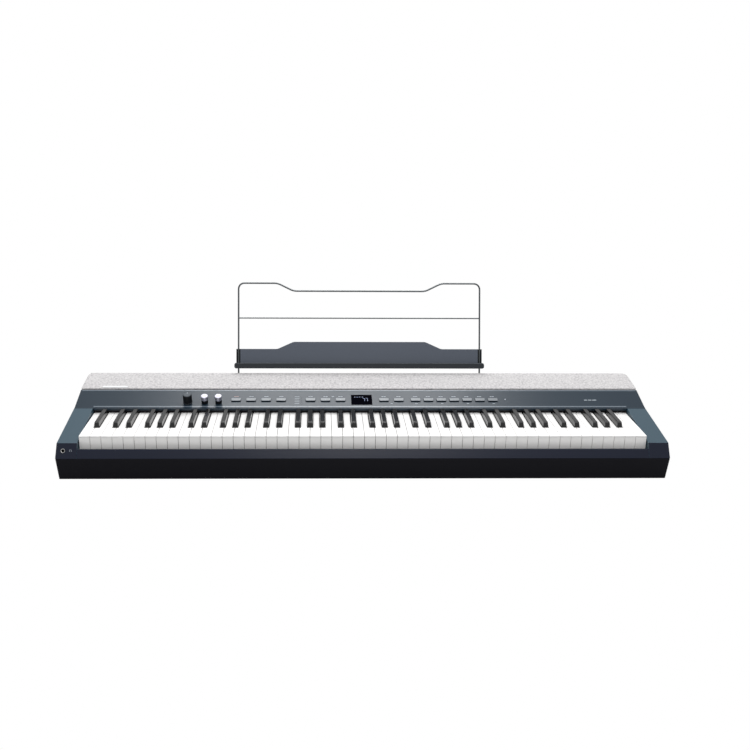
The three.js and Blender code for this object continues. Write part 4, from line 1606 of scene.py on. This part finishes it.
# ---------------------------------------------------------------------------------------------- sockets
@dataclass
class Sockets(SubAssembly):
    """The headphone socket and its mark, the rear connectors, and the music rest's bushings."""

    jack_x: float = -642.34
    jack_up: float = 17.5
    mark_x: float = 16.0  # from the socket to its mark
    mark_inner: float = 1.7
    mark_outer: float = 2.2
    ink: float = 0.05
    rear_y: float = 308.9
    row_z: float = 75.3
    block_x: float = -210.0
    spacing: float = 25.0
    rest_half: float = 294.8

    def __post_init__(self) -> None:
        """Starts the list of pieces."""
        super().__init__()

    def build(self) -> None:
        """Makes the sockets."""
        barrel = [
            (0, -15), (4.4, -15), (4.4, 0.3), (4.6, 0.3), (4.8, 0.5), (4.8, 0.9), (4.5, 1.2), (3.9, 1.2),
            (3.25, 0.7), (3.25, -13), (0, -13),
        ]
        place = NOSE.at(self.jack_x, self.jack_up)
        self.add("headphone_socket", turned(barrel, 40), NICKEL, "case", place, ["headphone_jack"])
        throat = turned([(0, -12.9), (3.2, -12.9), (3.2, 0.5), (2.9, 0.5), (2.9, -12.5), (0, -12.5)], 32)
        self.add("headphone_throat", throat, INNER_BLACK, "case", place)
        self._headphone_mark()
        self._rear_block()
        self._bushings()
        self.report()

    def _headphone_mark(self) -> None:
        """A small generic headband mark beside the socket."""
        arc = bmesh.new()
        inner, outer, ink = self.mark_inner, self.mark_outer, self.ink
        section = ((inner, 0), (outer, 0), (outer, ink), (inner, ink))
        start = [arc.verts.new((radius, 0, z)) for radius, z in section]
        loop = [arc.edges.new(pair) for pair in zip(start, start[1:] + start[:1])]
        arc.faces.new(start)
        bmesh.ops.spin(
            arc, geom=[*start, *loop], cent=(0, 0, 0), axis=(0, 0, 1), angle=math.pi, steps=14,
            use_merge=False, use_duplicate=False,
        )
        bmesh.ops.holes_fill(arc, edges=[e for e in arc.edges if e.is_boundary])
        bmesh.ops.recalc_face_normals(arc, faces=arc.faces)
        pads = []
        for x in (-1.9, 1.9):
            pad = tablet(1.2, 1.9, 0.4, 0.0, ink, 3)
            bmesh.ops.translate(pad, verts=pad.verts, vec=(x, -1.0, 0))
            pads.append(pad)
        place = NOSE.at(self.jack_x + self.mark_x, self.jack_up + 0.5, 0.1)
        self.add("headphone_mark", merged([arc, *pads]), INK, "case", place, shading=Shading.FLAT)

    def _rear_block(self) -> None:
        """The connector block with plated rings, a data socket and a power pin."""
        self.add(
            "connector_plate", softened("connector_block", 0.35), INNER_BLACK, "case",
            replaces=["connector_block"],
        )
        outward = Matrix.Rotation(math.pi / 2, 4, "X") @ Matrix.Rotation(math.pi, 4, "Y")

        def placed(bm: bmesh.types.BMesh, step: int) -> bmesh.types.BMesh:
            """Turns a mesh to face backwards at one of the row's sockets.

            Args:
                bm: The mesh, its front towards z.
                step: The socket, counted from the block's middle one.

            Returns:
                The same mesh.
            """
            x = self.block_x + step * self.spacing
            bm.transform(Matrix.Translation((x, self.rear_y, self.row_z)) @ outward)
            return bm

        ring = [(3.1, -3.0), (4.6, -3.0), (4.6, 0.5), (4.2, 0.9), (3.5, 0.9), (3.1, 0.5), (3.1, -3.0)]
        rings = [placed(turned(ring, 32), step) for step in (-2, -1, 0)]
        self.add("line_socket_rings", merged(rings), NICKEL, "case", CAD)
        tongue = placed(tablet(8.0, 3.6, 0.6, -16.0, -2.0, 3), 1)
        self.add("data_socket_tongue", tongue, BADGE_WHITE, "case", CAD)
        pin = placed(turned([(0, -17), (0.9, -17), (0.9, -2.4), (0.5, -1.8), (0, -1.7)], 20), 2)
        self.add("power_socket_pin", pin, NICKEL, "case", CAD)

    def _bushings(self) -> None:
        """A dark ring round each of the music rest's two holes."""
        rings = []
        section = [(2.9, 0.0), (5.4, 0.0), (5.4, 0.5), (5.0, 0.9), (3.3, 0.9), (2.9, 0.5), (2.9, 0.0)]
        for side in (-1, 1):
            bm = turned(section, 36)
            middle = (REST.x + side * self.rest_half, REST.y, REST.z)
            bmesh.ops.translate(bm, verts=bm.verts, vec=middle)
            rings.append(bm)
        self.add("rest_bushings", merged(rings), INNER_BLACK, "case", CAD)


# ---------------------------------------------------------------------------------------------- music rest
@dataclass
class MusicRest(SubAssembly):
    """The bent wire rest with its cross wire, sheet plate, end channels and ledge."""

    half: float = 294.8
    wire: float = 4.0
    cross: float = 3.0
    cross_up: float = 137.7
    top: float = 222.7
    dip: float = 203.7
    bend_out: float = 200.0
    bend_in: float = 161.0
    foot: float = -12.0  # where the hoop's feet end, in their sockets
    plate_half: float = 290.0
    channel_half: float = 300.1
    channel_wall: float = 0.9
    plate_low: float = 62.3
    plate_high: float = 79.8
    plate_off: float = 2.3  # in front of the hoop's plane
    plate_thickness: float = 1.5
    ledge_half: float = 304.0
    ledge_bottom: float = 14.7
    ledge_height: float = 13.7
    ledge_back: float = 5.0  # behind the hoop's plane
    ledge_front: float = 17.0
    ledge_corner: float = 5.0
    body: str = "music_rest"

    def __post_init__(self) -> None:
        """Starts the list of pieces."""
        super().__init__()

    def build(self) -> None:
        """Makes the rest."""
        self._hoop()
        self._cross_wire()
        self._plate()
        self._channels()
        self._ledge()
        self.report()

    @staticmethod
    def _bent(
        corners: Sequence[tuple[float, float]], radii: Sequence[float], steps: int
    ) -> list[Vector]:
        """A line of corners with each inner corner bent to a curve.

        Args:
            corners: The corners, ends included.
            radii: How far before and after each inner corner its bend starts and ends.
            steps: Points round a bend.

        Returns:
            The points.
        """
        points = [Vector((*corners[0], 0))]
        for i, radius in enumerate(radii, start=1):
            corner, before, after = (Vector((*corners[j], 0)) for j in (i, i - 1, i + 1))
            start = corner + (before - corner).normalized() * radius
            end = corner + (after - corner).normalized() * radius
            points += interpolate_bezier(start, start.lerp(corner, 0.6), end.lerp(corner, 0.6), end, steps)
        return [*points, Vector((*corners[-1], 0))]

    def _hoop(self) -> None:
        """The wire hoop, swept round its bends and capped at both feet."""
        top, dip = self.top, self.dip
        out, in_, foot = self.bend_out, self.bend_in, self.foot
        corners = [
            (-self.half, foot), (-self.half, top), (-out, top), (-in_, dip), (in_, dip), (out, top),
            (self.half, top), (self.half, foot),
        ]
        points = self._bent(corners, [15, 8, 8, 8, 8, 15], 9)
        data = bpy.data.curves.new("hoop", "CURVE")
        data.dimensions = "3D"
        data.bevel_depth = self.wire / 2
        data.bevel_resolution = 3
        data.use_fill_caps = True
        spline = data.splines.new("POLY")
        spline.points.add(len(points) - 1)
        for point, co in zip(spline.points, points):
            point.co = (*co, 1)
        swept = bpy.data.objects.new("hoop", data)
        mesh = bpy.data.meshes.new_from_object(swept)
        bm = bmesh.new()
        bm.from_mesh(mesh)
        bmesh.ops.remove_doubles(bm, verts=bm.verts, dist=1e-4)
        bmesh.ops.recalc_face_normals(bm, faces=bm.faces)
        bpy.data.objects.remove(swept)
        bpy.data.curves.remove(data)
        bpy.data.meshes.remove(mesh)
        self.add("music_rest_hoop", bm, STEEL, self.body, REST.matrix(), ["music_rest_frame"], crease=50.0)

    def _cross_wire(self) -> None:
        """The thinner wire across the hoop, welded to its uprights."""
        half, radius = self.half, self.cross / 2
        bm = turned([(0, -half), (radius, -half), (radius, half), (0, half)], 16)
        bm.transform(Matrix.Translation((0, self.cross_up, 0)) @ Matrix.Rotation(math.pi / 2, 4, "Y"))
        self.add("music_rest_cross", bm, STEEL, self.body, REST.matrix(), crease=50.0)

    def _plate(self) -> None:
        """The sheet plate, with its raised middle and softened bends."""
        base = self.ledge_bottom + self.ledge_height - 1
        corners = [
            (-self.plate_half, base), (self.plate_half, base), (self.plate_half, self.plate_low),
            (self.bend_out, self.plate_low), (self.bend_in, self.plate_high),
            (-self.bend_in, self.plate_high), (-self.bend_out, self.plate_low),
            (-self.plate_half, self.plate_low),
        ]
        bm = bmesh.new()
        outline_face(bm, [(x, y, self.plate_off) for x, y in corners])
        bends = [v for v in bm.verts if abs(v.co.x) < 250]
        bmesh.ops.bevel(
            bm, geom=bends, offset=4, offset_type="OFFSET", affect="VERTICES", segments=6, profile=0.5,
            material=-1, clamp_overlap=True,
        )
        thickened(bm, Vector((0, 0, self.plate_thickness)))
        rounded(bm, sharp_edges(bm, Bend.ALL, 40), 0.35, 2)
        self.add("music_rest_sheet", bm, REST_SLATE, self.body, REST.matrix(), ["music_rest_plate"])

    def _channels(self) -> None:
        """The folded channel at each end of the plate, open in front so that the upright shows."""
        channels = []
        outer, inner, wall = self.channel_half, self.plate_half, self.channel_wall
        start = self.ledge_bottom + self.ledge_height - 1
        points = [
            (inner, 3.8), (inner, -3.4), (outer, -3.4), (outer, 3.8), (outer - wall, 3.8),
            (outer - wall, -2.5), (inner + wall, -2.5), (inner + wall, 3.8),
        ]
        for side in (-1, 1):
            bm = bmesh.new()
            outline_face(bm, [(side * x, start, off) for x, off in points])
            thickened(bm, Vector((0, self.plate_low - start, 0)))
            rounded(bm, sharp_edges(bm, Bend.CONVEX), 0.25, 2)
            channels.append(bm)
        self.add("music_rest_channels", merged(channels), REST_DARK, self.body, REST.matrix())

    def _ledge(self) -> None:
        """The round-ended ledge that the music stands on."""
        bm = tablet(
            2 * self.ledge_half, self.ledge_height, self.ledge_corner, -self.ledge_back, self.ledge_front, 8
        )
        bmesh.ops.translate(bm, verts=bm.verts, vec=(0, self.ledge_bottom + self.ledge_height / 2, 0))
        rounded(bm, sharp_edges(bm, Bend.ALL, 40), 1.8, 4)
        self.add("music_rest_ledge", bm, REST_DARK, self.body, REST.matrix())


# ---------------------------------------------------------------------------------------------- studio
@dataclass
class Softbox:
    """A rectangular lamp aimed at a point."""

    name: str
    place: tuple[float, float, float]
    target: tuple[float, float, float]
    width: float
    length: float
    watts: float

    def build(self) -> None:
        """Makes the lamp."""
        data = bpy.data.lights.new(self.name, "AREA")
        data.shape = "RECTANGLE"
        data.size, data.size_y = self.width, self.length
        data.energy = self.watts
        lamp = bpy.data.objects.new(self.name, data)
        lamp.location = self.place
        lamp.rotation_mode = "QUATERNION"
        lamp.rotation_quaternion = (Vector(self.target) - Vector(self.place)).to_track_quat("-Z", "Y")
        bpy.context.scene.collection.objects.link(lamp)


@dataclass
class Studio:
    """The pale floor, the soft light and the camera."""

    focal: float = 911.32
    frame_side: float = 750.0
    sensor: float = 36.0
    eye: tuple[float, float, float] = (-0.10046, -1.99304, 0.82108)
    yaw: float = 0.024
    pitch: float = 0.3127
    roll: float = -0.0083
    axis_x: float = 338.84  # where the lens axis meets the frame
    ambient: float = 0.62
    lamps: tuple[Softbox, ...] = (
        Softbox("overhead_softbox", (0.0, -0.4, 2.4), (0.0, 0.0, 0.1), 3.4, 1.2, 38.0),
        Softbox("rear_softbox", (-0.02, 1.15, 1.85), (0.0, 0.0, 0.11), 1.35, 0.55, 24.0),
        Softbox("front_softbox", (0.1, -2.3, 1.75), (0.0, 0.0, 0.08), 0.9, 0.7, 9.0),
    )

    def build(self) -> None:
        """Makes the studio."""
        self._camera()
        self._floor()
        self._sky()
        for lamp in self.lamps:
            lamp.build()
        bpy.context.scene.view_settings.view_transform = "Standard"

    def _camera(self) -> None:
        """The camera, with its axes worked out from yaw, pitch and roll."""
        data = bpy.data.cameras.new("camera")
        data.sensor_width = self.sensor
        data.lens = self.focal / self.frame_side * self.sensor
        data.shift_x = 0.5 - self.axis_x / self.frame_side
        data.clip_end = 100
        ahead = Vector((
            math.sin(self.yaw) * math.cos(self.pitch),
            math.cos(self.yaw) * math.cos(self.pitch),
            -math.sin(self.pitch),
        ))
        level = Vector((math.cos(self.yaw), -math.sin(self.yaw), 0))
        down = ahead.cross(level)
        right = level * math.cos(self.roll) + down * math.sin(self.roll)
        below = down * math.cos(self.roll) - level * math.sin(self.roll)
        turn = Matrix((right, -below, -ahead)).transposed()
        camera = bpy.data.objects.new("camera", data)
        camera.matrix_world = Matrix.Translation(self.eye) @ turn.to_4x4()
        bpy.context.scene.collection.objects.link(camera)
        bpy.context.scene.camera = camera

    def _floor(self) -> None:
        """A plain pale floor."""
        bm = bmesh.new()
        bmesh.ops.create_grid(bm, x_segments=1, y_segments=1, size=20)
        mesh = bpy.data.meshes.new("floor")
        bm.to_mesh(mesh)
        bm.free()
        shader = Shader("floor_white")
        tone = shader.speckle(0.6, shader.place())
        shader.dress(
            base_color=shader.mixed(tone, (0.48, 0.48, 0.48, 1), (0.52, 0.52, 0.52, 1)),
            roughness=0.9,
            specular_ior_level=0.1,
        )
        seen = shader.node("LightPath").outputs["Is Camera Ray"]
        white = shader.node("Emission", {}, {"Color": (1, 1, 1, 1), "Strength": 1.0}).outputs[0]
        sides = {0: seen, 1: shader.surface.outputs[0], 2: white}
        cover = shader.node("MixShader", {}, sides).outputs[0]
        shader.feed(shader.tree.nodes["Material Output"].inputs["Surface"], cover)
        mesh.materials.append(shader.material)
        floor = bpy.data.objects.new("floor", mesh)
        bpy.context.scene.collection.objects.link(floor)

    def _sky(self) -> None:
        """Even light from all round, and plain white where the camera sees past the floor."""
        world = bpy.data.worlds.new("studio")
        world.use_nodes = True
        graph = Graph(world.node_tree)
        background = graph.tree.nodes["Background"]
        seen = graph.node("LightPath").outputs["Is Camera Ray"]
        levels = {"Value": seen, "To Min": self.ambient, "To Max": 1.0}
        graph.feed(background.inputs["Color"], (1, 1, 1, 1))
        graph.feed(background.inputs["Strength"], graph.node("MapRange", {}, levels).outputs["Result"])
        bpy.context.scene.world = world


def main() -> None:
    """Builds the studio and every sub-assembly."""
    logging.basicConfig(level=logging.INFO, format="%(name)s: %(message)s")
    Studio().build()
    for make in (CaseShell, Insides, Keyboard, ControlPanel, SpeakerDeck, Sockets, MusicRest):
        make().build()


if __name__ == "__main__":
    main()
